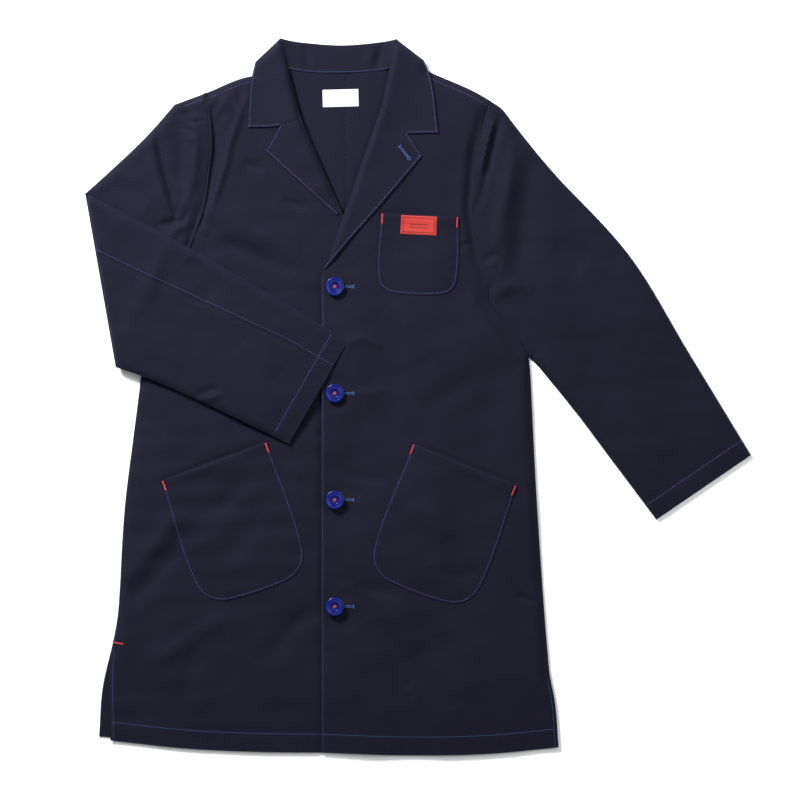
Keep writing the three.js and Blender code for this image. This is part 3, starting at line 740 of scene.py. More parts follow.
def make_collar_sheets():
    """The stand inside the neck, the fall behind it, and the ends and lapels that turn over."""
    left_end = np.array([spot("collar_stand", 0.98, 0.30), LEFT_PEAK])
    right_end = np.array([spot("collar_stand", 0.0, 0.20), RIGHT_PEAK])
    top_edge = edge("collar_stand", (0.0, 1.0), (1.0, 0.97))[::-1]
    if len(top_edge) > len(outline("collar_stand")) / 2:
        top_edge = edge("collar_stand", (1.0, 0.97), (0.0, 1.0))
    sheets["collar_stand_cloth"] = Sheet(
        "collar_stand", 3.4 * MM,
        rippled(31, 0.3 * MM, 60 * MM, math.pi / 2),
        *creases(
            "collar_stand",
            (((0.24, 0.10), (0.21, 0.80)), 5, -1.9),
            (((0.83, 0.12), (0.88, 0.85)), 5, -2.4),
            (((0.76, 0.12), (0.79, 0.80)), 6, 1.5),
        ),
        lifted(left_end, 8.6 * MM, 7 * MM), lifted(right_end, 6.4 * MM, 7 * MM),
        dipped(top_edge, 2.6 * MM, 4 * MM, 2.4))
    fall_ends = [edge("collar_back_fall", (1.0, 0.49), (0.83, 0.98)),
                 edge("collar_back_fall", (0.15, 1.0), (0.0, 0.45))]
    sheets["collar_fall_cloth"] = Sheet(
        "collar_back_fall", 0.9 * MM,
        lifted(fall_ends[0], 5.2 * MM, 6 * MM), lifted(fall_ends[1], 4.2 * MM, 6 * MM), coarse=1.4)

    for side, roll, clearance in (("left", LEFT_ROLL, 1.7 * MM), ("right", RIGHT_ROLL, 1.6 * MM)):
        front = sheets[f"{side}_front"]
        node, lapel = f"collar_{side}", f"lapel_{side}"
        wing = in_order(np.vstack([plate_loop(node, False), roll[:1]]))
        if side == "left":
            shoulder = edge(node, (0.82, 0.71), (0.38, 1.0))
            gorge = edge(lapel, (0.85, 0.83), (0.58, 1.0))
            free = edge(lapel, (0.0, 0.0), (0.85, 0.83))
            collar_free = edge(node, (0.45, 0.0), (0.82, 0.71))
        else:
            shoulder = edge(node, (0.42, 1.0), (0.09, 0.70))
            gorge = edge(lapel, (0.46, 1.0), (0.19, 0.93))
            free = edge(lapel, (0.19, 0.93), (0.94, 0.0))
            collar_free = edge(node, (0.09, 0.70), (0.61, 0.03))
        shoulder = np.vstack([shoulder, roll[:1]] if side == "left" else [roll[:1], shoulder])
        level = top_of(node)
        shared = [
            level_at_least(front, clearance, level),
            rolled(roll, level - 2.4 * MM, 3.0 * MM if side == "left" else 2.4 * MM, 8 * MM),
            crease(gorge, 1.3 * MM, -0.6 * MM, 0),
        ]
        seed = 41 if side == "left" else 43
        sheets[f"{side}_lapel_cloth"] = Sheet(
            lapel, level, *shared,
            rippled(seed, 0.25 * MM, 60 * MM), lifted(free, 0.5 * MM, 6 * MM),
            puckered(free, 4 * MM, 14 * MM, 0.16 * MM, seed), body=f"{side}_lapel",
            grain=20 if side == "left" else 160, joined=[gorge, roll])
        sheets[f"{side}_collar_cloth"] = Sheet(
            node, level, *shared,
            rippled(seed + 1, 0.25 * MM, 60 * MM), lifted(collar_free, 0.5 * MM, 6 * MM),
            puckered(collar_free, 4 * MM, 14 * MM, 0.16 * MM, seed + 1),
            dipped(shoulder, 6.4 * MM if side == "left" else 5.4 * MM, 11 * MM, 2.4),
            body=f"{side}_lapel", ring=smooth_outline(wing), joined=[gorge, roll])
        hinge = joint(f"{side}_lapel_turn")
        middle = np.array(hinge["pos_m"][:2])
        outwards = sideways(hinge["axis"])
        outwards *= np.sign((spot(f"front_{side}_panel", 0.5, 0.5) - middle) @ outwards)
        for name in (f"{side}_lapel_cloth", f"{side}_collar_cloth"):
            sheets[name].bending("torso", f"{side}_lapel", middle - 1 * MM * outwards,
                                 middle + 16 * MM * outwards)


def make_left_sleeve_sheets():
    """The left sleeve lies out flat: a top and an under panel, each cut once more at the elbow."""
    elbow = joint("left_elbow")
    hinge = np.array(elbow["pos_m"][:2])
    down = sideways(elbow["axis"])
    down *= np.sign((spot("left_forearm_top", 0.5, 0.5) - hinge) @ down)
    upper = {
        "outer": edge("left_sleeve_top", (1.0, 0.25), (0.08, 1.0)),
        "armhole": edge("left_sleeve_top", (0.08, 1.0), (0.08, 0.40)),
        "inner": edge("left_sleeve_top", (0.08, 0.40), (0.48, 0.0)),
    }
    lower = {
        "inner": edge("left_forearm_top", (0.0, 0.60), (0.48, 0.0)),
        "cuff": edge("left_forearm_top", (0.48, 0.0), (1.0, 0.34)),
        "outer": edge("left_forearm_top", (1.0, 0.34), (0.58, 1.0)),
    }
    bend = edge("left_forearm_top", (0.58, 1.0), (0.0, 0.60))
    outer = np.vstack([lower["outer"], upper["outer"]])
    inner = np.vstack([upper["inner"], lower["inner"]])
    sleeve_grain = math.degrees(math.atan2(down[1], down[0]))
    waves = [
        rippled(51, 0.9 * RIPPLE, 130 * MM, math.radians(sleeve_grain)),
        rippled(52, 0.25 * RIPPLE, 40 * MM),
    ]
    folds = [
        bank(line("left_sleeve_top", (0.26, 0.86), (0.235, 0.764), (0.20, 0.60), (0.18, 0.46),
                  (0.22, 0.36))[::-1], 15 * MM, 3.9 * MM),
        *creases(
            "left_sleeve_top",
            (((0.145, 0.955), (0.098, 0.844), (0.062, 0.735), (0.03, 0.643)), 5, -4.6),
            (((0.11, 0.945), (0.07, 0.85), (0.04, 0.76)), 4, 3.6),
            (((0.05, 0.47), (0.12, 0.50)), 5, -2.7),
            (((0.10, 0.36), (0.20, 0.40), (0.30, 0.38)), 9, 2.6),
            (((0.40, 0.52), (0.56, 0.46)), 20, -1.9),
        ),
        crumpled(spot("left_sleeve_top", 0.064, 0.448), 26 * MM, 1.1 * MM, 15 * MM, 55),
        crumpled(spot("left_sleeve_top", 0.12, 0.90), 22 * MM, 0.7 * MM, 14 * MM, 56),
        crease(line("left_sleeve_top", (0.175, 0.93), (0.20, 0.80), (0.145, 0.62), (0.10, 0.50)),
               9 * MM, 2.2 * MM, 0.6),
        crease(beside(part_of(inner, 0.24, 0.97), 14 * MM), 1.5 * MM, -1.1 * MM, 0.4),
    ]
    top = top_of("left_sleeve_top")
    free_inner = part_of(inner, 0.30, 1)
    rounding = [dipped(outer, 2.6 * MM, 15 * MM, 3), dipped(free_inner, 2.6 * MM, 15 * MM, 3)]
    beside_body = [dipped(part_of(inner, 0, 0.30), 5.6 * MM, 16 * MM, 2.6)]
    armhole = dipped(upper["armhole"], SEAM_LEVEL, 8 * MM, 2.2)
    head = crease(beside(part_of(upper["armhole"], 0.1, 0.9), 12 * MM), 8 * MM, 1.5 * MM, 0.7)
    droop = dipped(lower["cuff"], 3.6 * MM, 90 * MM, 1.6)
    hem = [banded(lower["cuff"], 24 * MM, 0.5 * MM),
           puckered(lower["cuff"], 12 * MM, 15 * MM, 0.3 * MM, 54)]
    sleeve_seams = [np.vstack([upper["armhole"], part_of(upper["inner"], 0, 0.45)]),
                    edge("left_sleeve_top", (0.48, 0.0), (1.0, 0.25))]
    sheets["left_sleeve_top_cloth"] = Sheet(
        "left_sleeve_top", top, *waves, *folds, *beside_body, *rounding, head, armhole,
        tucked(sleeve_seams[0]), tucked(sleeve_seams[1], 0.2 * MM),
        ring=extended(outline("left_sleeve_top"), sleeve_seams),
        body="left_upper_sleeve", grain=sleeve_grain,
        joined=[upper["armhole"], upper["inner"], bend])
    sheets["left_forearm_top_cloth"] = Sheet(
        "left_forearm_top", top, *waves, *folds, droop, *rounding, *hem, body="left_forearm",
        grain=sleeve_grain, joined=[bend])
    under = [rippled(53, 0.04 * MM, 90 * MM), dipped(outer, 1.7 * MM, 9 * MM, 2),
             dipped(free_inner, 1.7 * MM, 9 * MM, 2)]
    for part, body in (("sleeve", "left_upper_sleeve"), ("forearm", "left_forearm")):
        sheets[f"left_{part}_under_cloth"] = Sheet(
            f"left_{part}_under", 1.0 * MM, *under, body=body, grain=sleeve_grain, coarse=1.6)
    hinge_x = joint("left_shoulder")["pos_m"][0]
    for panel in ("top", "under"):
        sheets[f"left_sleeve_{panel}_cloth"].bending(
            "torso", "left_upper_sleeve", (hinge_x + 20 * MM, 0), (hinge_x + 95 * MM, 0))
        sheets[f"left_forearm_{panel}_cloth"].bending(
            "left_upper_sleeve", "left_forearm", hinge - 1 * MM * down, hinge + 30 * MM * down)


def make_right_sleeve_sheets():
    """The right sleeve is folded at its elbow, so that the forearm's under side faces up."""
    fold_height = joint("right_elbow")["pos_m"][2]
    fold = edge("right_sleeve_top", (0.0, 0.63), (0.25, 0.0))
    r_outer = edge("right_sleeve_top", (0.97, 1.0), (0.0, 0.63))
    r_inner = edge("right_sleeve_top", (0.25, 0.0), (0.78, 0.31))
    r_armhole = edge("right_sleeve_top", (0.78, 0.31), (0.97, 1.0))
    sheets["right_sleeve_top_cloth"] = Sheet(
        "right_sleeve_top", top_of("right_sleeve_top"),
        rippled(61, 0.8 * RIPPLE, 90 * MM, 1.0), rippled(62, 0.25 * RIPPLE, 36 * MM),
        crumpled(spot("right_sleeve_top", 0.87, 0.89), 26 * MM, 1.2 * MM, 13 * MM, 63),
        crumpled(spot("right_sleeve_top", 0.79, 0.52), 34 * MM, 1.0 * MM, 17 * MM, 64),
        *creases(
            "right_sleeve_top",
            (((0.66, 0.47), (0.74, 0.50), (0.84, 0.52)), 6, 2.7, 0.5),
            (((0.56, 0.52), (0.68, 0.525), (0.82, 0.54)), 5, -3.2, 0.5),
            (((0.57, 0.865), (0.617, 0.752), (0.682, 0.642), (0.74, 0.547)), 4, -4.6, 0.3),
            (((0.51, 0.85), (0.55, 0.745), (0.62, 0.63), (0.69, 0.54)), 7, 3.6, 0.4),
            (((0.86, 0.93), (0.90, 0.80), (0.86, 0.66), (0.80, 0.56)), 8, 4.2, 0.5),
            (((0.74, 0.93), (0.78, 0.80), (0.77, 0.66)), 9, -3.0),
            (((0.12, 0.66), (0.30, 0.66), (0.50, 0.60)), 14, -2.3),
        ),
        dipped(r_outer, 2.6 * MM, 15 * MM, 3), dipped(r_inner, 5.5 * MM, 15 * MM, 2.4),
        dipped(r_armhole, SEAM_LEVEL - 0.6 * MM, 8 * MM, 2.2),
        dipped(fold, fold_height - 0.9 * MM, 30 * MM, 1.6), tucked(r_armhole),
        ring=extended(outline("right_sleeve_top"), [r_armhole]), grain=225, joined=[r_armhole])
    sheets["right_sleeve_under_cloth"] = Sheet(
        "right_sleeve_under", 1.0 * MM, dipped(r_outer, 1.7 * MM, 9 * MM, 2),
        dipped(r_inner, 1.7 * MM, 9 * MM, 2), dipped(fold, fold_height, 10 * MM, 3), grain=225,
        coarse=1.4)

    f_outer = edge("right_forearm_under", (1.0, 0.40), (0.0, 1.0))
    f_inner = edge("right_forearm_under", (0.12, 0.31), (0.78, 0.0))
    f_cuff = edge("right_forearm_under", (0.78, 0.0), (1.0, 0.40))
    f_fold = edge("right_forearm_under", (0.0, 1.0), (0.12, 0.31))
    f_seam = line("right_forearm_under", *FOREARM_SEAM)
    way = f_cuff.mean(0) - f_fold.mean(0)
    forearm_grain = math.degrees(math.atan2(way[1], way[0]))
    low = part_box("right_forearm_top")[0][2]
    sheets["right_forearm_top_cloth"] = Sheet(
        "right_forearm_top", low + 1.2 * MM, lifted(f_cuff, 1.2 * MM, 60 * MM),
        dipped(f_fold, fold_height + 0.9 * MM, 22 * MM, 1.8),
        dipped(f_outer, low + 1.9 * MM, 9 * MM, 2), dipped(f_inner, low + 1.9 * MM, 9 * MM, 2),
        body="right_forearm", grain=forearm_grain, coarse=1.4)
    sheets["right_forearm_under_cloth"] = Sheet(
        "right_forearm_under", top_of("right_forearm_under") - 1.4 * MM,
        rippled(71, 0.9 * RIPPLE, 110 * MM, math.radians(forearm_grain)),
        rippled(72, 0.25 * RIPPLE, 36 * MM),
        *creases(
            "right_forearm_under",
            (((0.31, 0.80), (0.27, 0.70), (0.21, 0.52)), 14, 3.3),
            (((0.40, 0.74), (0.48, 0.645), (0.46, 0.55)), 14, -3.2),
            (((0.43, 0.165), (0.53, 0.20)), 5, 2.7),
            (((0.42, 0.19), (0.51, 0.225)), 5, -2.1),
            (((0.10, 0.62), (0.14, 0.45)), 10, -2.4),
            (((0.60, 0.40), (0.74, 0.28)), 16, 2.0),
        ),
        crease(beside(f_seam, -5.2 * MM), 1.6 * MM, -1.4 * MM, 0),
        crease(beside(f_seam, 3 * MM), 3 * MM, 0.4 * MM, 0),
        dipped(f_cuff, low + 3.4 * MM, 80 * MM, 1.7),
        dipped(f_outer, low + 2.7 * MM, 14 * MM, 3), dipped(f_inner, low + 2.7 * MM, 14 * MM, 3),
        banded(f_cuff, 24 * MM, 0.5 * MM), puckered(f_cuff, 12 * MM, 15 * MM, 0.3 * MM, 73),
        dipped(f_fold, fold_height, 10 * MM, 3), body="right_forearm", grain=forearm_grain)


def make_pocket_sheets():
    """Patch pockets follow the front that they are sewn to and stand off it at the mouth."""
    for i, (node, (base, start, end, grain, belly)) in enumerate(POCKETS.items()):
        mouth = edge(node, start, end)
        sewn = edge(node, end, start)
        sheets[f"{node}_cloth"] = Sheet(
            node, 0.0, over(sheets[base], 1.0 * MM), *pocket_creases(node),
            lifted(mouth, 1.6 * belly, 26 * MM), swollen(sewn, belly, 40 * MM),
            sewn_down(sheets[base], sewn, 1.0 * MM, 7 * MM),
            banded(mouth, 12 * MM, 0.45 * MM), puckered(sewn, 5 * MM, 13 * MM, 0.22 * MM, 80 + i),
            grain=grain)


def pocket_creases(node):
    """The soft diagonals that the lower pockets show."""
    if node == "left_pocket":
        return [
            crease(line(node, (0.15, 0.62), (0.35, 0.40), (0.42, 0.25)), 13 * MM, -2.6 * MM),
            crease(line(node, (0.30, 0.66), (0.52, 0.40)), 15 * MM, 1.4 * MM),
            crease(line(node, (0.38, 0.22), (0.62, 0.17), (0.74, 0.22)), 9 * MM, -1.6 * MM),
        ]
    if node == "right_pocket":
        return [
            crease(line(node, (0.20, 0.50), (0.45, 0.62), (0.62, 0.80)), 13 * MM, -1.6 * MM),
            crease(line(node, (0.42, 0.28), (0.72, 0.52)), 16 * MM, -1.8 * MM),
            crease(line(node, (0.25, 0.35), (0.55, 0.55)), 15 * MM, 1.6 * MM),
        ]
    return [crease(line(node, (0.2, 0.5), (0.7, 0.35)), 16 * MM, 0.8 * MM)]


make_back_sheets()
make_front_sheets()
make_collar_sheets()
make_left_sleeve_sheets()
make_right_sleeve_sheets()
make_pocket_sheets()


# ---------------------------------------------------------------- mesh helpers
def deselect():
    bpy.ops.object.select_all(action="DESELECT")


def activate(obj):
    deselect()
    obj.select_set(True)
    bpy.context.view_layer.objects.active = obj


def new_object(name, vertices, faces, material):
    mesh = bpy.data.meshes.new(name)
    mesh.from_pydata([tuple(map(float, v)) for v in vertices], [],
                     [tuple(map(int, f)) for f in faces])
    mesh.update()
    obj = bpy.data.objects.new(name, mesh)
    bpy.context.collection.objects.link(obj)
    mesh.materials.append(material)
    return obj


def thicken(obj, thickness):
    """Gives a sheet its thickness, downwards, and shades it smooth."""
    activate(obj)
    thick = obj.modifiers.new("thickness", "SOLIDIFY")
    thick.thickness = thickness
    thick.offset = -1
    bpy.ops.object.modifier_apply(modifier=thick.name)
    bpy.ops.object.shade_smooth_by_angle(angle=CLOTH_ANGLE)


def panel_points(ring, spacing):
    """The points of a panel: its edge, a few rings beside it, and an even field inside."""
    closed = evenly(np.vstack([ring, ring[:1]]), min(spacing, EDGE_SPACING))[:-1]
    corners = ring[turning(ring) > SHARP_TURN]
    for corner in corners:
        closed[np.linalg.norm(closed - corner, axis=1).argmin()] = corner
    whole = np.vstack([closed, closed[:1]])
    ways = np.roll(closed, -1, axis=0) - np.roll(closed, 1, axis=0)
    inwards = np.column_stack([-ways[:, 1], ways[:, 0]]) / np.linalg.norm(ways, axis=1)[:, None]
    rings = []
    offsets = [0.42 * spacing, 1.05 * spacing, 1.85 * spacing]
    for offset in offsets:
        moved = closed + inwards * offset
        moved = moved[enclosed(moved, closed)]
        rings.append(moved[along(whole, moved)[0] > 0.92 * offset])
    low, high = closed.min(0), closed.max(0)
    columns, rows = ((high - low) / (spacing * np.array([1, ROW_STEP]))).astype(int) + 1
    field = np.array([(low[0] + spacing * (c + 0.5 * (r % 2)), low[1] + ROW_STEP * spacing * r)
                      for r in range(rows) for c in range(columns)])
    field = field[enclosed(field, closed)]
    field = field[along(whole, field)[0] > offsets[-1] + 0.6 * spacing]
    return closed, np.vstack([*rings, field])


def sew(name, material, cloth):
    """Cuts one panel, lays it at its heights and gives it its thickness."""
    sheet = sheets[name]
    edge_points, inner = panel_points(sheet.ring, cloth.spacing * sheet.coarse)
    plan = np.vstack([edge_points, inner])
    ring = list(range(len(edge_points)))
    found, _, faces, *_ = delaunay_2d_cdt([Vector(p) for p in plan], [], [ring], 1, 1e-7)
    flat = np.array([(p.x, p.y) for p in found])
    points = np.column_stack([flat, sheet.height(flat)])
    obj = new_object(name, points, faces, material)
    turn = np.array([[math.sin(sheet.grain), -math.cos(sheet.grain)],
                     [math.cos(sheet.grain), math.sin(sheet.grain)]])
    laid = flat @ turn.T
    grain = obj.data.uv_layers.new(name="grain")
    loops = np.zeros(len(obj.data.loops), int)
    obj.data.loops.foreach_get("vertex_index", loops)
    grain.data.foreach_set("uv", laid[loops].astype(np.float32).ravel())
    # The twill is made lighter in colour towards each free edge of the panel: a share that is 1 at
    # the edge, fades over about 1.6 mm and is cleared along joined seams.
    lighter_edges = obj.data.attributes.new("edge", "FLOAT", "POINT")
    closed = np.vstack([edge_points, edge_points[:1]])
    edge_lightening = np.exp(-along(closed, flat)[0] / (1.6 * MM))
    for seam in sheet.joined:
        edge_lightening *= np.clip(along(seam, flat)[0] / (5 * MM) - 0.3, 0, 1)
    lighter_edges.data.foreach_set("value", edge_lightening.astype(np.float32))
    thicken(obj, cloth.thickness)
    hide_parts(sheet.node)
    attach(obj, sheet)
    return obj


def attach(obj, sheet):
    """A piece of a panel with a bend keeps its place in the world; any other rides on the panel's
    body.
    """
    if sheet.bend:
        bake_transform(obj)
    else:
        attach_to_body(obj, sheet.body)


def capsule(sides=6):
    """A short round-ended thread along X, one unit long and one thick, with few faces."""
    rings = [(-0.42, 0.62), (-0.2, 1.0), (0.2, 1.0), (0.42, 0.62)]
    angles = np.arange(sides) * 2 * np.pi / sides
    points = [(-0.5, 0, 0)]
    for x, r in rings:
        points += [(x, 0.5 * r * math.cos(a), 0.5 * r * math.sin(a)) for a in angles]
    points.append((0.5, 0, 0))
    last = len(points) - 1
    faces = [(0, 1 + (i + 1) % sides, 1 + i) for i in range(sides)]
    for ring in range(len(rings) - 1):
        first = 1 + ring * sides
        for i in range(sides):
            after = (i + 1) % sides
            faces.append((first + i, first + after, first + sides + after, first + sides + i))
    first = 1 + (len(rings) - 1) * sides
    faces += [(first + i, first + (i + 1) % sides, last) for i in range(sides)]
    return np.array(points), faces


def threads(name, middles, ways, lengths, diameter, material):
    """Many short threads in one mesh, each at its middle and along its way."""
    shape, faces = capsule()
    ways = ways / np.linalg.norm(ways, axis=1)[:, None]
    across = np.cross(np.array([0, 0, 1.0]), ways)
    across /= np.linalg.norm(across, axis=1)[:, None]
    up = np.cross(ways, across)
    lengths = np.broadcast_to(lengths, len(middles))
    diameters = np.broadcast_to(diameter, len(middles))
    points = (middles[:, None]
              + shape[None, :, :1] * (lengths[:, None, None] * ways[:, None])
              + shape[None, :, 1:2] * (diameters[:, None, None] * across[:, None])
              + shape[None, :, 2:] * (diameters[:, None, None] * up[:, None]))
    every = [tuple(v + k * len(shape) for v in face) for k in range(len(middles)) for face in faces]
    obj = new_object(name, points.reshape(-1, 3), every, material)
    activate(obj)
    bpy.ops.object.shade_smooth()
    return obj


def stitch_row(sheet, path, thread):
    """The middles, ways and lengths of one row of topstitches that lies on a panel."""
    pitch = thread.stitch + thread.gap
    marks = evenly(path, pitch)
    sunk = sheet.height(marks) + 0.24 * thread.diameter
    marks = np.column_stack([marks, sunk])
    ways = np.diff(marks, axis=0)
    middles = (marks[1:] + marks[:-1]) / 2
    lengths = np.linalg.norm(ways, axis=1) * thread.stitch / pitch
    return middles, ways, lengths


# ---------------------------------------------------------------- materials
def new_material(name, roughness, **sockets):
    material = bpy.data.materials.new(name)
    material.use_nodes = True
    shader = material.node_tree.nodes["Principled BSDF"]
    shader.inputs["Roughness"].default_value = roughness
    for socket, value in sockets.items():
        shader.inputs[socket.replace("_", " ")].default_value = value
    return material, material.node_tree.nodes, material.node_tree.links, shader


def add_node(nodes, kind, **values):
    node = nodes.new(kind)
    for key, value in values.items():
        if key in node.inputs:
            node.inputs[key].default_value = value
        else:
            setattr(node, key, value)
    return node


def bands(nodes, links, source, period, angle, distortion=0.0):
    """Straight even bands, a period apart, turned by an angle in the plane of the source."""
    turn = add_node(nodes, "ShaderNodeMapping")
    turn.inputs["Rotation"].default_value = (0, 0, angle)
    wave = add_node(
        nodes, "ShaderNodeTexWave", Scale=math.tau / (20 * period), Distortion=distortion)
    wave.inputs["Detail"].default_value = 1.0
    wave.inputs["Detail Scale"].default_value = 2.0
    links.new(source, turn.inputs["Vector"])
    links.new(turn.outputs["Vector"], wave.inputs["Vector"])
    return wave.outputs["Fac"]


def feed(links, socket, value):
    """Links a socket to another one, or sets it to a fixed value."""
    if isinstance(value, bpy.types.NodeSocket):
        links.new(value, socket)
    else:
        socket.default_value = value


def mix_colours(nodes, links, share, first, second):
    """Two colours mixed by a share, each of the three a socket or a fixed value."""
    mix = add_node(nodes, "ShaderNodeMix", data_type="RGBA")
    for index, value in ((0, share), (6, first), (7, second)):  # 6 and 7 are the colour inputs
        feed(links, mix.inputs[index], value)
    return mix.outputs[2]


def calculate(nodes, links, operation, *values):
    node = add_node(nodes, "ShaderNodeMath", operation=operation)
    for socket, value in zip(node.inputs, values):
        feed(links, socket, value)
    return node.outputs[0]


def shaded(colour, factor):
    return (*(min(c * factor, 1) for c in colour[:3]), 1)


def twill_material(name, colour, wale):
    """Steep twill lines crossed by yarns, slightly uneven in the dye and lighter in colour towards
    each panel's edges.
    """
    material, nodes, links, shader = new_material(
        name, 0.82, Sheen_Weight=0.035, Sheen_Roughness=0.4, Specular_IOR_Level=0.10)
    shader.inputs["Sheen Tint"].default_value = (0.62, 0.68, 1.0, 1)
    grain = add_node(nodes, "ShaderNodeUVMap", uv_map="grain").outputs["UV"]
    wales = bands(nodes, links, grain, wale, math.radians(27), 0.25)
    yarns = bands(nodes, links, grain, 0.42 * wale, math.radians(90), 0.4)
    fade = add_node(nodes, "ShaderNodeTexNoise", Scale=7.0, Detail=3.0, Roughness=0.55)
    slub = add_node(nodes, "ShaderNodeTexNoise", Scale=900.0, Detail=2.0, Roughness=0.6)
    links.new(grain, fade.inputs["Vector"])
    links.new(grain, slub.inputs["Vector"])
    woven = calculate(nodes, links, "MULTIPLY", wales, calculate(
        nodes, links, "MULTIPLY_ADD", yarns, 0.45, 0.55))
    body = mix_colours(
        nodes, links, fade.outputs["Fac"], shaded(colour, 0.90), shaded(colour, 1.12))
    yarn = mix_colours(nodes, links, woven, shaded(colour, 0.72), shaded(colour, 1.30))
    cloth = mix_colours(nodes, links, 0.5, body, yarn)
    # Lighter colour painted towards each free edge: the edge attribute mixes up to 0.28 of a copy
    # 2.1 times as bright.
    lighter_edges = add_node(nodes, "ShaderNodeAttribute", attribute_name="edge")
    edge_lightening = calculate(nodes, links, "MULTIPLY", lighter_edges.outputs["Fac"], 0.28)
    cloth = mix_colours(nodes, links, edge_lightening, cloth, shaded(colour, 2.1))
    links.new(cloth, shader.inputs["Base Color"])
    rough = calculate(nodes, links, "MULTIPLY_ADD", slub.outputs["Fac"], 0.2, 0.72)
    links.new(rough, shader.inputs["Roughness"])
    height = calculate(nodes, links, "MULTIPLY_ADD", slub.outputs["Fac"], 0.4, woven)
    bump = add_node(nodes, "ShaderNodeBump", Strength=0.55, Distance=0.14 * MM)
    links.new(height, bump.inputs["Height"])
    links.new(bump.outputs["Normal"], shader.inputs["Normal"])
    return material


def thread_material(name, colour):
    """Twisted, slightly glossy sewing thread."""
    material, nodes, links, shader = new_material(
        name, 0.42, Sheen_Weight=0.15, Specular_IOR_Level=0.5)
    place = add_node(nodes, "ShaderNodeTexCoord").outputs["Object"]
    ply = bands(nodes, links, place, 0.5 * MM, math.radians(38), 1.0)
    links.new(mix_colours(nodes, links, ply, shaded(colour, 0.62), shaded(colour, 1.3)),
              shader.inputs["Base Color"])
    bump = add_node(nodes, "ShaderNodeBump", Strength=0.5, Distance=0.08 * MM)
    links.new(ply, bump.inputs["Height"])
    links.new(bump.outputs["Normal"], shader.inputs["Normal"])
    return material


def button_material(name, colour):
    """Moulded plastic with a fine swirl in its colour and faint tool marks in its gloss."""
    material, nodes, links, shader = new_material(
        name, 0.26, Specular_IOR_Level=0.28, Coat_Weight=0.08, Coat_Roughness=0.1)
    place = add_node(nodes, "ShaderNodeTexCoord").outputs["Object"]
    swirl = add_node(nodes, "ShaderNodeTexNoise", Scale=160.0, Detail=4.0, Distortion=1.4)
    marks = add_node(nodes, "ShaderNodeTexNoise", Scale=1500.0, Detail=2.0)
    links.new(place, swirl.inputs["Vector"])
    links.new(place, marks.inputs["Vector"])
    swirled = mix_colours(
        nodes, links, swirl.outputs["Fac"], shaded(colour, 0.75), shaded(colour, 1.3))
    links.new(swirled, shader.inputs["Base Color"])
    links.new(calculate(nodes, links, "MULTIPLY_ADD", marks.outputs["Fac"], 0.18, 0.2),
              shader.inputs["Roughness"])
    return material


def label_material(name, colour, mark):
    """A damask label: fine ribs, a woven border and a row of plain bars."""
    material, nodes, links, shader = new_material(
        name, 0.7, Sheen_Weight=0.2, Specular_IOR_Level=0.35)
    shares = add_node(nodes, "ShaderNodeUVMap", uv_map="label").outputs["UV"]
    ribs = bands(nodes, links, shares, 1 / 64, 0.0)
    picks = bands(nodes, links, shares, 1 / 40, math.radians(90))
    split = add_node(nodes, "ShaderNodeSeparateXYZ")
    links.new(shares, split.inputs[0])

    def inset(value, margin):
        away = calculate(nodes, links, "ABSOLUTE", calculate(nodes, links, "SUBTRACT", value, 0.5))
        return calculate(nodes, links, "LESS_THAN", away, 0.5 - margin)

    x, y = split.outputs[0], split.outputs[1]
    inside = calculate(nodes, links, "MULTIPLY", inset(x, 0.045), inset(y, 0.09))
    core = calculate(nodes, links, "MULTIPLY", inset(x, 0.075), inset(y, 0.15))
    border = calculate(nodes, links, "SUBTRACT", inside, core)
    bar = calculate(nodes, links, "MULTIPLY", inset(x, 0.24), calculate(
        nodes, links, "GREATER_THAN", calculate(nodes, links, "SINE", calculate(
            nodes, links, "MULTIPLY", y, 38.0)), 0.35))
    bar = calculate(nodes, links, "MULTIPLY", bar, inset(y, 0.32))
    pattern = calculate(nodes, links, "MAXIMUM", border, bar)
    weave = calculate(nodes, links, "MULTIPLY", ribs, picks)
    ground = mix_colours(nodes, links, weave, shaded(colour, 0.78), shaded(colour, 1.15))
    links.new(mix_colours(nodes, links, pattern, ground, mark), shader.inputs["Base Color"])
    bump = add_node(nodes, "ShaderNodeBump", Strength=0.5, Distance=0.12 * MM)
    links.new(calculate(nodes, links, "MULTIPLY_ADD", pattern, 0.6, weave), bump.inputs["Height"])
    links.new(bump.outputs["Normal"], shader.inputs["Normal"])
    return material


def floor_material(colour):
    material, nodes, links, shader = new_material("floor", 0.9, Specular_IOR_Level=0.1)
    grain = add_node(nodes, "ShaderNodeTexNoise", Scale=30.0)
    links.new(add_node(nodes, "ShaderNodeTexCoord").outputs["Object"], grain.inputs["Vector"])
    links.new(mix_colours(nodes, links, grain.outputs["Fac"], shaded(colour, 0.985), colour),
              shader.inputs["Base Color"])
    return material


def material_of(kind):
    """Each finish is made once and shared."""
    if kind in bpy.data.materials:
        return bpy.data.materials[kind]
    scene = bpy.context.scene
    cloth, thread, label = scene.coat_cloth, scene.coat_thread, scene.coat_label
    make, *values = {
        "navy_twill": (twill_material, cloth.colour, cloth.wale),
        "facing_twill": (twill_material, cloth.facing_colour, cloth.wale),
        "blue_sewing_thread": (thread_material, thread.blue),
        "red_sewing_thread": (thread_material, thread.red),
        "cobalt_button": (button_material, scene.coat_button.colour),
        "red_woven_label": (label_material, label.red, (0.16, 0.006, 0.006, 1)),
        "white_woven_label": (label_material, label.white, (0.62, 0.61, 0.64, 1)),
    }[kind]
    return make(kind, *values)


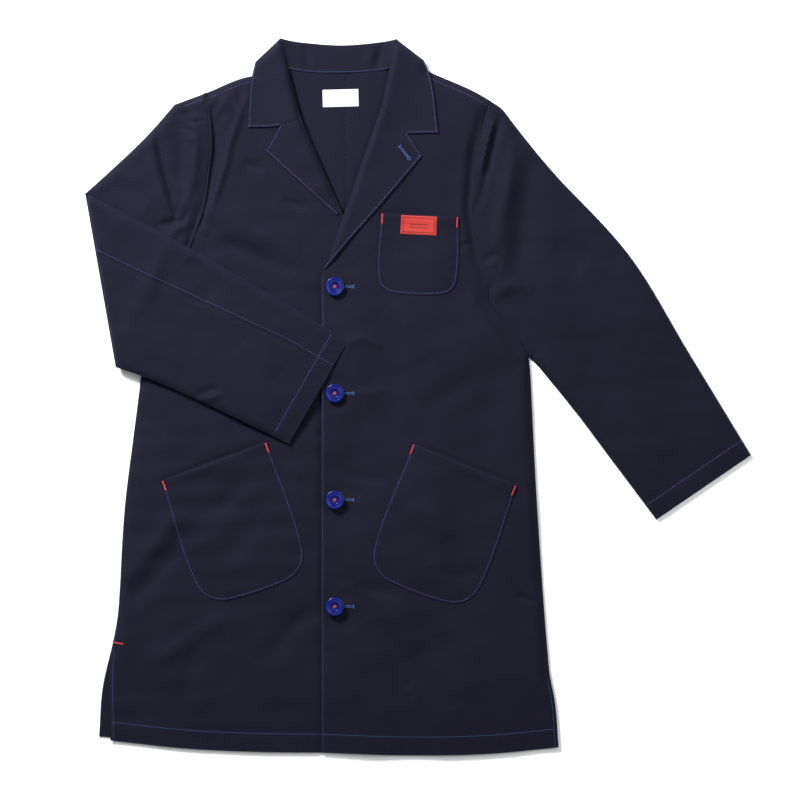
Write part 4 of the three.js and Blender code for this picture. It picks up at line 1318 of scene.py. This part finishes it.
# ---------------------------------------------------------------- operators
class COAT_OT_stage(bpy.types.Operator):
    """Lay the floor, hang the lights and set the camera"""

    bl_idname = "coat.stage"
    bl_label = "Stage"

    def execute(self, context):
        settings = context.scene.coat_stage
        low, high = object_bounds()
        deselect()
        bpy.ops.mesh.primitive_plane_add(size=40, location=(0, 0, -0.2 * MM))
        floor = context.object
        floor.name = "floor"
        bpy.ops.object.transform_apply(location=True, rotation=True, scale=True)
        floor.data.materials.append(floor_material(settings.floor_colour))
        floor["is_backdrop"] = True

        world = bpy.data.worlds.new("studio")
        world.use_nodes = True
        world.node_tree.nodes["Background"].inputs["Color"].default_value = (0.97, 0.985, 1, 1)
        world.node_tree.nodes["Background"].inputs["Strength"].default_value = settings.sky
        context.scene.world = world
        for name, place, size, power in (
                ("key", (-1.45, 1.75, 1.45), 0.7, settings.key),
                ("fill", (1.4, 0.7, 2.4), 1.6, 0.22 * settings.key)):
            light = bpy.data.lights.new(name, "AREA")
            light.size = size
            light.energy = power
            lamp = bpy.data.objects.new(name, light)
            lamp.location = place
            lamp.rotation_euler = (-lamp.location).to_track_quat("-Z", "Y").to_euler()
            context.collection.objects.link(lamp)

        camera = bpy.data.cameras.new("camera")
        camera.sensor_width = 36
        camera.lens = camera.sensor_width * settings.camera_height / settings.view_width
        camera.clip_start, camera.clip_end = 0.05, 60
        eye = bpy.data.objects.new("camera", camera)
        middle = (low + high) / 2
        eye.location = (middle.x - 0.023 * settings.view_width,
                        middle.y - 0.004 * settings.view_width, settings.camera_height)
        context.collection.objects.link(eye)
        context.scene.camera = eye
        context.scene.view_settings.view_transform = "Standard"
        context.scene.view_settings.look = "None"
        return {"FINISHED"}


def sew_all(context, names):
    for name in names:
        kind = "facing_twill" if "facing" in name else "navy_twill"
        sew(name, material_of(kind), context.scene.coat_cloth)


class COAT_OT_back(bpy.types.Operator):
    """Sew the two back panels"""

    bl_idname = "coat.back"
    bl_label = "Back"

    def execute(self, context):
        sew_all(context, ("left_back", "right_back"))
        return {"FINISHED"}


class COAT_OT_fronts(bpy.types.Operator):
    """Sew the two fronts and their facings"""

    bl_idname = "coat.fronts"
    bl_label = "Fronts and facings"

    def execute(self, context):
        sew_all(context, ("right_facing", "right_front", "left_facing", "left_front"))
        return {"FINISHED"}


class COAT_OT_collar(bpy.types.Operator):
    """Sew the collar's stand, fall and ends, and the lapels"""

    bl_idname = "coat.collar"
    bl_label = "Collar and lapels"

    def execute(self, context):
        sew_all(context, ("collar_fall_cloth", "collar_stand_cloth", "right_collar_cloth",
                          "right_lapel_cloth", "left_collar_cloth", "left_lapel_cloth"))
        return {"FINISHED"}


class COAT_OT_sleeves(bpy.types.Operator):
    """Sew both sleeves, each with its upper part and forearm"""

    bl_idname = "coat.sleeves"
    bl_label = "Sleeves"

    def execute(self, context):
        parts = ("left_sleeve", "left_forearm", "right_sleeve", "right_forearm")
        sew_all(context, [f"{part}_{panel}_cloth" for part in parts for panel in ("under", "top")])
        return {"FINISHED"}


class COAT_OT_pockets(bpy.types.Operator):
    """Sew the three patch pockets"""

    bl_idname = "coat.pockets"
    bl_label = "Pockets"

    def execute(self, context):
        sew_all(context, [f"{node}_cloth" for node in POCKETS])
        return {"FINISHED"}


def stitch_paths():
    """Each panel's rows of topstitching, as lines of the plan."""
    edge_in = 1.9 * MM
    hem_in = 26 * MM
    vent_in = 4.5 * MM
    shoulder_in = 8.5 * MM
    bartack_room = 15.5 * MM
    cuff_in = 24.6 * MM

    def rounding(node, *corners):
        """Rows beside an outline, one for each stretch between two corners."""
        return [beside(edge(node, *ends), edge_in) for ends in zip(corners, corners[1:])]

    rows = {
        "left_front": [
            beside(FRONT_EDGE, edge_in),
            part_of(beside(LEFT_HEM, hem_in), 0.0, 0.985),
            part_of(beside(LEFT_VENT, vent_in), 0, 0.93),
            beside(LEFT_SHOULDER, shoulder_in),
        ],
        "right_front": [
            part_of(beside(RIGHT_HEM, hem_in), 0.0, 0.895),
            part_of(beside(RIGHT_VENT, vent_in), 0.07, 1),
            beside(RIGHT_SHOULDER, shoulder_in),
        ],
        "right_sleeve_top_cloth": [
            beside(part_of(edge("right_sleeve_top", (0.97, 1.0), (0.0, 0.63)), 0.02, 0.15), 7 * MM),
        ],
        "left_forearm_top_cloth": [
            beside(edge("left_forearm_top", (0.48, 0.0), (1.0, 0.34)), cuff_in),
        ],
        "right_forearm_under_cloth": [
            beside(edge("right_forearm_under", (0.78, 0.0), (1.0, 0.40)), cuff_in),
            line("right_forearm_under", *FOREARM_SEAM),
        ],
        "left_lapel_cloth": rounding("lapel_left", (0.02, 0.0), (1.0, 0.69), (0.85, 0.83)),
        "right_lapel_cloth": rounding("lapel_right", (0.19, 0.93), (0.0, 0.66), (0.94, 0.0)),
        "left_collar_cloth": rounding("collar_left", (0.45, 0.0), (1.0, 0.01), (0.75, 0.82)),
        "right_collar_cloth": rounding("collar_right", (0.14, 0.82), (0.0, 0.0), (0.61, 0.03)),
        "collar_stand_cloth": [
            beside(neck_seam(), 1.6 * MM),
        ],
    }
    for node, (_, start, end, *_) in POCKETS.items():
        sewn = beside(edge(node, end, start), 2.2 * MM)
        length = np.linalg.norm(np.diff(sewn, axis=0), axis=1).sum()
        rows[f"{node}_cloth"] = [part_of(sewn, bartack_room / length, 1 - bartack_room / length)]
    return rows


def neck_seam():
    """The lower edge of the stand, from its right end to its left one."""
    lower = edge("collar_stand", (0.03, 0.16), (0.98, 0.19))
    other = edge("collar_stand", (0.98, 0.19), (0.03, 0.16))
    return lower if len(lower) < len(other) else other[::-1]


class COAT_OT_topstitching(bpy.types.Operator):
    """Run the blue topstitching along hems, edges, seams and pockets"""

    bl_idname = "coat.topstitching"
    bl_label = "Topstitching"

    def execute(self, context):
        thread = context.scene.coat_thread
        for name, paths in stitch_paths().items():
            rows = [stitch_row(sheets[name], path, thread) for path in paths]
            middles, ways, lengths = (np.concatenate(part) for part in zip(*rows))
            obj = threads(f"{name.removesuffix('_cloth')}_stitching", middles, ways, lengths,
                          thread.diameter, material_of("blue_sewing_thread"))
            attach(obj, sheets[name])
        return {"FINISHED"}


def satin(sheet, origin, way, length, width, pitch, diameter, height=0.0):
    """Threads laid side by side across a narrow strip, as a dense bar of stitches."""
    count = max(int(length / pitch), 2)
    side = sideways(way)
    dice = np.random.default_rng(len(sheets) + count)
    along_way = (np.arange(count) + 0.5) / count * length
    plan = origin + along_way[:, None] * way
    middles = np.column_stack([plan, sheet.height(plan) + 0.3 * diameter + height])
    slant = 0.10 * (-1.0) ** np.arange(count)
    ways = np.column_stack([side + slant[:, None] * way, np.zeros(count)])
    return middles, ways, width * dice.uniform(0.94, 1.04, count)


def bar_frame(node):
    """The middle, long direction, length and width of a narrow node in the plan."""
    mesh = frame["nodes"][node].data
    plan = np.array([v.co[:2] for v in mesh.vertices])
    middle = (plan.max(0) + plan.min(0)) / 2
    values, vectors = np.linalg.eigh(np.cov(np.unique(plan.round(6), axis=0).T))
    way = vectors[:, values.argmax()]
    way = way * (1 if way[0] > 0 else -1)
    reach = (plan - middle) @ way
    width = np.ptp((plan - middle) @ sideways(way))
    return middle, way, np.ptp(reach), width


class COAT_OT_bartacks(bpy.types.Operator):
    """Sew the red bartacks at the pocket corners and over the right side vent"""

    bl_idname = "coat.bartacks"
    bl_label = "Bartacks"

    def execute(self, context):
        for node in [n for n in frame["nodes"] if "bartack" in n]:
            pocket = node.split("_bartack")[0]
            sheet = sheets[f"{pocket}_cloth" if pocket in POCKETS else "right_front"]
            middle, way, length, width = bar_frame(node)
            rows = satin(sheet, middle - way * length / 2, way, length, width, 0.42 * MM, 0.5 * MM,
                         0.15 * MM)
            obj = threads(f"{node}_threads", *rows, 0.52 * MM, material_of("red_sewing_thread"))
            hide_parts(node)
            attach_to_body(obj, "torso")
        return {"FINISHED"}


class COAT_OT_buttonholes(bpy.types.Operator):
    """Sew the four blue buttonholes and the eyelet buttonhole on the left lapel"""

    bl_idname = "coat.buttonholes"
    bl_label = "Buttonholes"

    def execute(self, context):
        for node in [n for n in frame["nodes"] if "buttonhole" in n]:
            on_lapel = node.startswith("lapel")
            sheet = sheets["left_lapel_cloth" if on_lapel else "left_front"]
            middle, way, length, _ = bar_frame(node)
            length -= 5 * MM
            start = middle - way * length / 2
            side = sideways(way)
            lip = 1.5 * MM
            parts = [satin(sheet, start + side * offset, way, length, lip, 0.46 * MM, 0.46 * MM,
                           0.12 * MM) for offset in (0.95 * MM, -0.95 * MM)]
            bar_at = start - way * 0.4 * MM if on_lapel else start + way * (length - 0.6 * MM)
            parts.append(satin(sheet, bar_at - side * 3.1 * MM, side, 6.2 * MM, 1.5 * MM, 0.42 * MM,
                               0.5 * MM, 0.3 * MM))
            if on_lapel:
                parts.append(eyelet(sheet, start + way * (length + 1.2 * MM)))
            middles, ways, lengths = (np.concatenate(part) for part in zip(*parts))
            obj = threads(f"{node}_threads", middles, ways, lengths, 0.5 * MM,
                          material_of("blue_sewing_thread"))
            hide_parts(node)
            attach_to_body(obj, sheet.body if on_lapel else "torso")
        return {"FINISHED"}


def eyelet(sheet, centre, radius=2.1 * MM, count=26):
    """A round eye of threads that all point at its middle."""
    angles = np.arange(count) * 2 * np.pi / count
    ways = np.column_stack([np.cos(angles), np.sin(angles)])
    plan = centre + radius * ways
    middles = np.column_stack([plan, sheet.height(plan) + 0.27 * MM])
    return middles, np.column_stack([ways, np.zeros(count)]), np.full(count, 1.4 * MM)


def select_faces(obj, test):
    """Selects, in edit mode, the faces whose middle and normal pass a test."""
    bpy.ops.object.mode_set(mode="OBJECT")
    for polygon in obj.data.polygons:
        polygon.select = test(polygon.center, polygon.normal)
    bpy.ops.object.mode_set(mode="EDIT")


class COAT_OT_buttons(bpy.types.Operator):
    """Turn the four buttons and sew them on"""

    bl_idname = "coat.buttons"
    bl_label = "Buttons"

    def execute(self, context):
        settings = context.scene.coat_button
        first = None
        for i in BUTTONS:
            node = f"button_{i}"
            low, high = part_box(node)
            centre = (low + high) / 2
            if first is None:
                first = self.turn_button(settings, high[0] - low[0], high[2] - low[2])
                pattern_centre = centre
                first.data.transform(Matrix.Translation(centre))
                obj = first
            else:
                obj = first.copy()
                obj.data = first.data.copy()
                obj.data.transform(Matrix.Translation(centre - pattern_centre))
                context.collection.objects.link(obj)
            obj.name = f"cobalt_{node}"
            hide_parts(node)
        for i in BUTTONS:
            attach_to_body(bpy.data.objects[f"cobalt_button_{i}"], f"button_{i}_body")
            self.sew_on(context, i)
        return {"FINISHED"}

    def turn_button(self, settings, width, thickness):
        """A thick round button: a rounded rim, a shallow step and a deeply recessed middle."""
        deselect()
        radius = width / 2
        bpy.ops.mesh.primitive_cylinder_add(
            vertices=96, radius=radius, depth=thickness, end_fill_type="NGON", location=(0, 0, 0))
        obj = bpy.context.object
        bpy.ops.object.mode_set(mode="EDIT")
        bpy.ops.mesh.select_all(action="DESELECT")

        def upper(centre, normal):
            return normal.z > 0.9 and math.hypot(centre.x, centre.y) < 0.2 * MM

        steps = ((0.26 * radius, -0.25 * MM), (0.05 * radius, -0.35 * MM),
                 (0.05 * radius, 0.25 * MM), ((0.64 - settings.well_share) * radius, 0.1 * MM),
                 (0.04 * radius, -settings.dish))
        for inwards, rise in steps:
            select_faces(obj, upper)
            bpy.ops.mesh.inset(thickness=inwards, depth=0)
            bpy.ops.transform.translate(value=(0, 0, rise))
        for inwards in (0.16 * radius, 0.09 * radius):
            select_faces(obj, upper)
            bpy.ops.mesh.inset(thickness=inwards, depth=0)
            bpy.ops.transform.translate(value=(0, 0, -0.1 * MM))
        bpy.ops.mesh.select_all(action="DESELECT")
        bpy.ops.object.mode_set(mode="OBJECT")
        rim = [e for e in obj.data.edges if all(
            math.hypot(*obj.data.vertices[v].co[:2]) > 0.99 * radius for v in e.vertices)]
        for rim_edge in rim:
            flat = abs(obj.data.vertices[rim_edge.vertices[0]].co.z
                       - obj.data.vertices[rim_edge.vertices[1]].co.z) < 1e-6
            rim_edge.select = flat
        bpy.ops.object.mode_set(mode="EDIT")
        bpy.ops.mesh.bevel(offset=0.34 * thickness, segments=5, profile=0.5, affect="EDGES")
        bpy.ops.mesh.select_all(action="SELECT")
        bpy.ops.mesh.remove_doubles(threshold=0.005 * MM)
        bpy.ops.mesh.normals_make_consistent(inside=False)
        bpy.ops.object.mode_set(mode="OBJECT")
        soften = obj.modifiers.new("soften", "BEVEL")
        soften.width = 0.22 * MM
        soften.segments = 3
        soften.limit_method = "ANGLE"
        soften.angle_limit = math.radians(28)
        bpy.ops.object.modifier_apply(modifier=soften.name)
        bpy.ops.object.shade_smooth_by_angle(angle=math.radians(40))
        obj.data.materials.append(material_of("cobalt_button"))
        return obj

    def sew_on(self, context, i):
        """The red thread: a wound shank under the button and a small crossed knot in its middle."""
        node = f"button_thread_{i}"
        low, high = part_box(node)
        centre = (low + high) / 2
        settings = context.scene.coat_button
        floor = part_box(f"button_{i}")[1][2] - settings.dish - 0.45 * MM
        turns, around = 14, 6  # rounds of the shank, and stitches in each
        shank, knot = 1.05 * MM, 2.5 * MM  # radii of the shank and of the knot
        cloth = sheets["left_front"].height(np.array([centre[:2]]))[0]
        coils = np.linspace(cloth + 0.25 * MM, floor, turns)
        middles, ways, lengths, diameters = [], [], [], []
        for k, z in enumerate(coils):
            for j in range(around):
                angle = (j + 0.5 * (k % 2)) * math.tau / around
                middles.append((centre.x + shank * math.cos(angle),
                                centre.y + shank * math.sin(angle), z))
                ways.append((-math.sin(angle), math.cos(angle), 0.12))
                lengths.append(1.5 * MM)
                diameters.append(0.6 * MM)
        for k in range(7):
            shift = (k - 3) * 0.52 * MM
            reach = math.sqrt(max(knot**2 - shift**2, 0))
            for way, height in (((0.94, 0.34), 0.25), ((-0.34, 0.94), 0.62)):
                place = np.array([centre.x, centre.y]) + shift * sideways(way)
                middles.append((place[0], place[1], floor + height * MM))
                ways.append((way[0], way[1], 0.0))
                lengths.append(2 * reach)
                diameters.append(0.58 * MM)
        obj = threads(f"button_{i}_sewing", np.array(middles), np.array(ways), np.array(lengths),
                      np.array(diameters), material_of("red_sewing_thread"))
        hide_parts(node)
        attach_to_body(obj, f"button_{i}_body")


class COAT_OT_labels(bpy.types.Operator):
    """Sew on the woven labels at the chest pocket and inside the neck"""

    bl_idname = "coat.labels"
    bl_label = "Labels"

    def execute(self, context):
        for place, sheet, colour, thread in (
                ("chest", "chest_pocket_cloth", "red", ("red_sewing_thread", "red_thread")),
                ("neck", "left_back", "white", ("white_woven_label", "white_label"))):
            node, name = f"{place}_label", f"{place}_woven_label"
            obj = self.weave(node, name, sheets[sheet], material_of(f"{colour}_woven_label"))
            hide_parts(node)
            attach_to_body(obj, "torso")
            self.tack(node, name, sheets[sheet], *thread)
        return {"FINISHED"}

    def weave(self, node, name, sheet, material):
        """A small folded-edge label that follows the cloth it is sewn to."""
        middle, way, length, width = bar_frame(node)
        side = sideways(way)
        columns, rows = 41, 21
        dice = np.random.default_rng(len(name))
        phases = dice.uniform(0, math.tau, 4)
        vertices, shares = [], []
        for r in range(rows):
            for c in range(columns):
                u, v = c / (columns - 1), r / (rows - 1)
                plan = middle + (u - 0.5) * length * way + (v - 0.5) * width * side
                wave = 0.12 * MM * (math.sin(7 * u + phases[0]) + math.sin(9 * v + phases[1]))
                brim = min(u, 1 - u, (v if v < 0.5 else 1 - v) * width / length) * length
                crown = 0.35 * MM * (1 - math.exp(-brim / (1.2 * MM)))
                z = sheet.height(plan[None])[0] + 0.25 * MM + crown + max(wave, -0.05 * MM)
                vertices.append((*plan, z))
                shares.append((u, v))
        starts = [r * columns + c for r in range(rows - 1) for c in range(columns - 1)]
        faces = [(k, k + 1, k + columns + 1, k + columns) for k in starts]
        obj = new_object(name, vertices, faces, material)
        uv = obj.data.uv_layers.new(name="label")
        for loop in obj.data.loops:
            uv.data[loop.index].uv = shares[loop.vertex_index]
        thicken(obj, 0.4 * MM)
        return obj

    def tack(self, node, name, sheet, finish, slot):
        """Tiny stitches round the label's edge."""
        middle, way, length, width = bar_frame(node)
        side = sideways(way)
        inset = 1.2 * MM
        half = np.array([length / 2 - inset, width / 2 - inset])
        signs = ((-1, -1), (1, -1), (1, 1), (-1, 1), (-1, -1))
        corners = np.array([middle + a * half[0] * way + b * half[1] * side for a, b in signs])
        marks = np.vstack([evenly(corners[k:k + 2], 2.2 * MM)[:-1] for k in range(4)])
        z = sheet.height(marks) + 0.72 * MM
        points = np.column_stack([marks, z])
        ways = np.roll(points, -1, axis=0) - points
        obj = threads(f"{name}_tacking", points + ways / 2, ways, 1.6 * MM, 0.36 * MM,
                      material_of(finish))
        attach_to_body(obj, "torso")


class COAT_PT_panel(bpy.types.Panel):
    """Lists the coat's settings and the steps that build it"""

    bl_idname = "COAT_PT_panel"
    bl_label = "Lab Coat"
    bl_space_type = "VIEW_3D"
    bl_region_type = "UI"
    bl_category = "Lab Coat"

    def draw(self, context):
        for group in (context.scene.coat_stage, context.scene.coat_cloth, context.scene.coat_thread,
                      context.scene.coat_button, context.scene.coat_label):
            box = self.layout.box()
            for key in group.__annotations__:
                box.prop(group, key)
        for operator in OPERATORS:
            self.layout.operator(operator.bl_idname)


GROUPS = (ClothSettings, ThreadSettings, ButtonSettings, LabelSettings, StageSettings)
OPERATORS = (COAT_OT_stage, COAT_OT_back, COAT_OT_fronts, COAT_OT_collar, COAT_OT_sleeves,
             COAT_OT_pockets, COAT_OT_topstitching, COAT_OT_bartacks, COAT_OT_buttonholes,
             COAT_OT_buttons, COAT_OT_labels)


def register():
    for cls in (*GROUPS, *OPERATORS, COAT_PT_panel):
        bpy.utils.register_class(cls)
    bpy.types.Scene.coat_cloth = PointerProperty(type=ClothSettings)
    bpy.types.Scene.coat_thread = PointerProperty(type=ThreadSettings)
    bpy.types.Scene.coat_button = PointerProperty(type=ButtonSettings)
    bpy.types.Scene.coat_label = PointerProperty(type=LabelSettings)
    bpy.types.Scene.coat_stage = PointerProperty(type=StageSettings)


def unregister():
    for name in ("coat_cloth", "coat_thread", "coat_button", "coat_label", "coat_stage"):
        delattr(bpy.types.Scene, name)
    for cls in reversed((*GROUPS, *OPERATORS, COAT_PT_panel)):
        bpy.utils.unregister_class(cls)


def main():
    register()
    for operator in OPERATORS:
        group, name = operator.bl_idname.split(".")
        getattr(getattr(bpy.ops, group), name)()


if __name__ == "__main__":
    main()
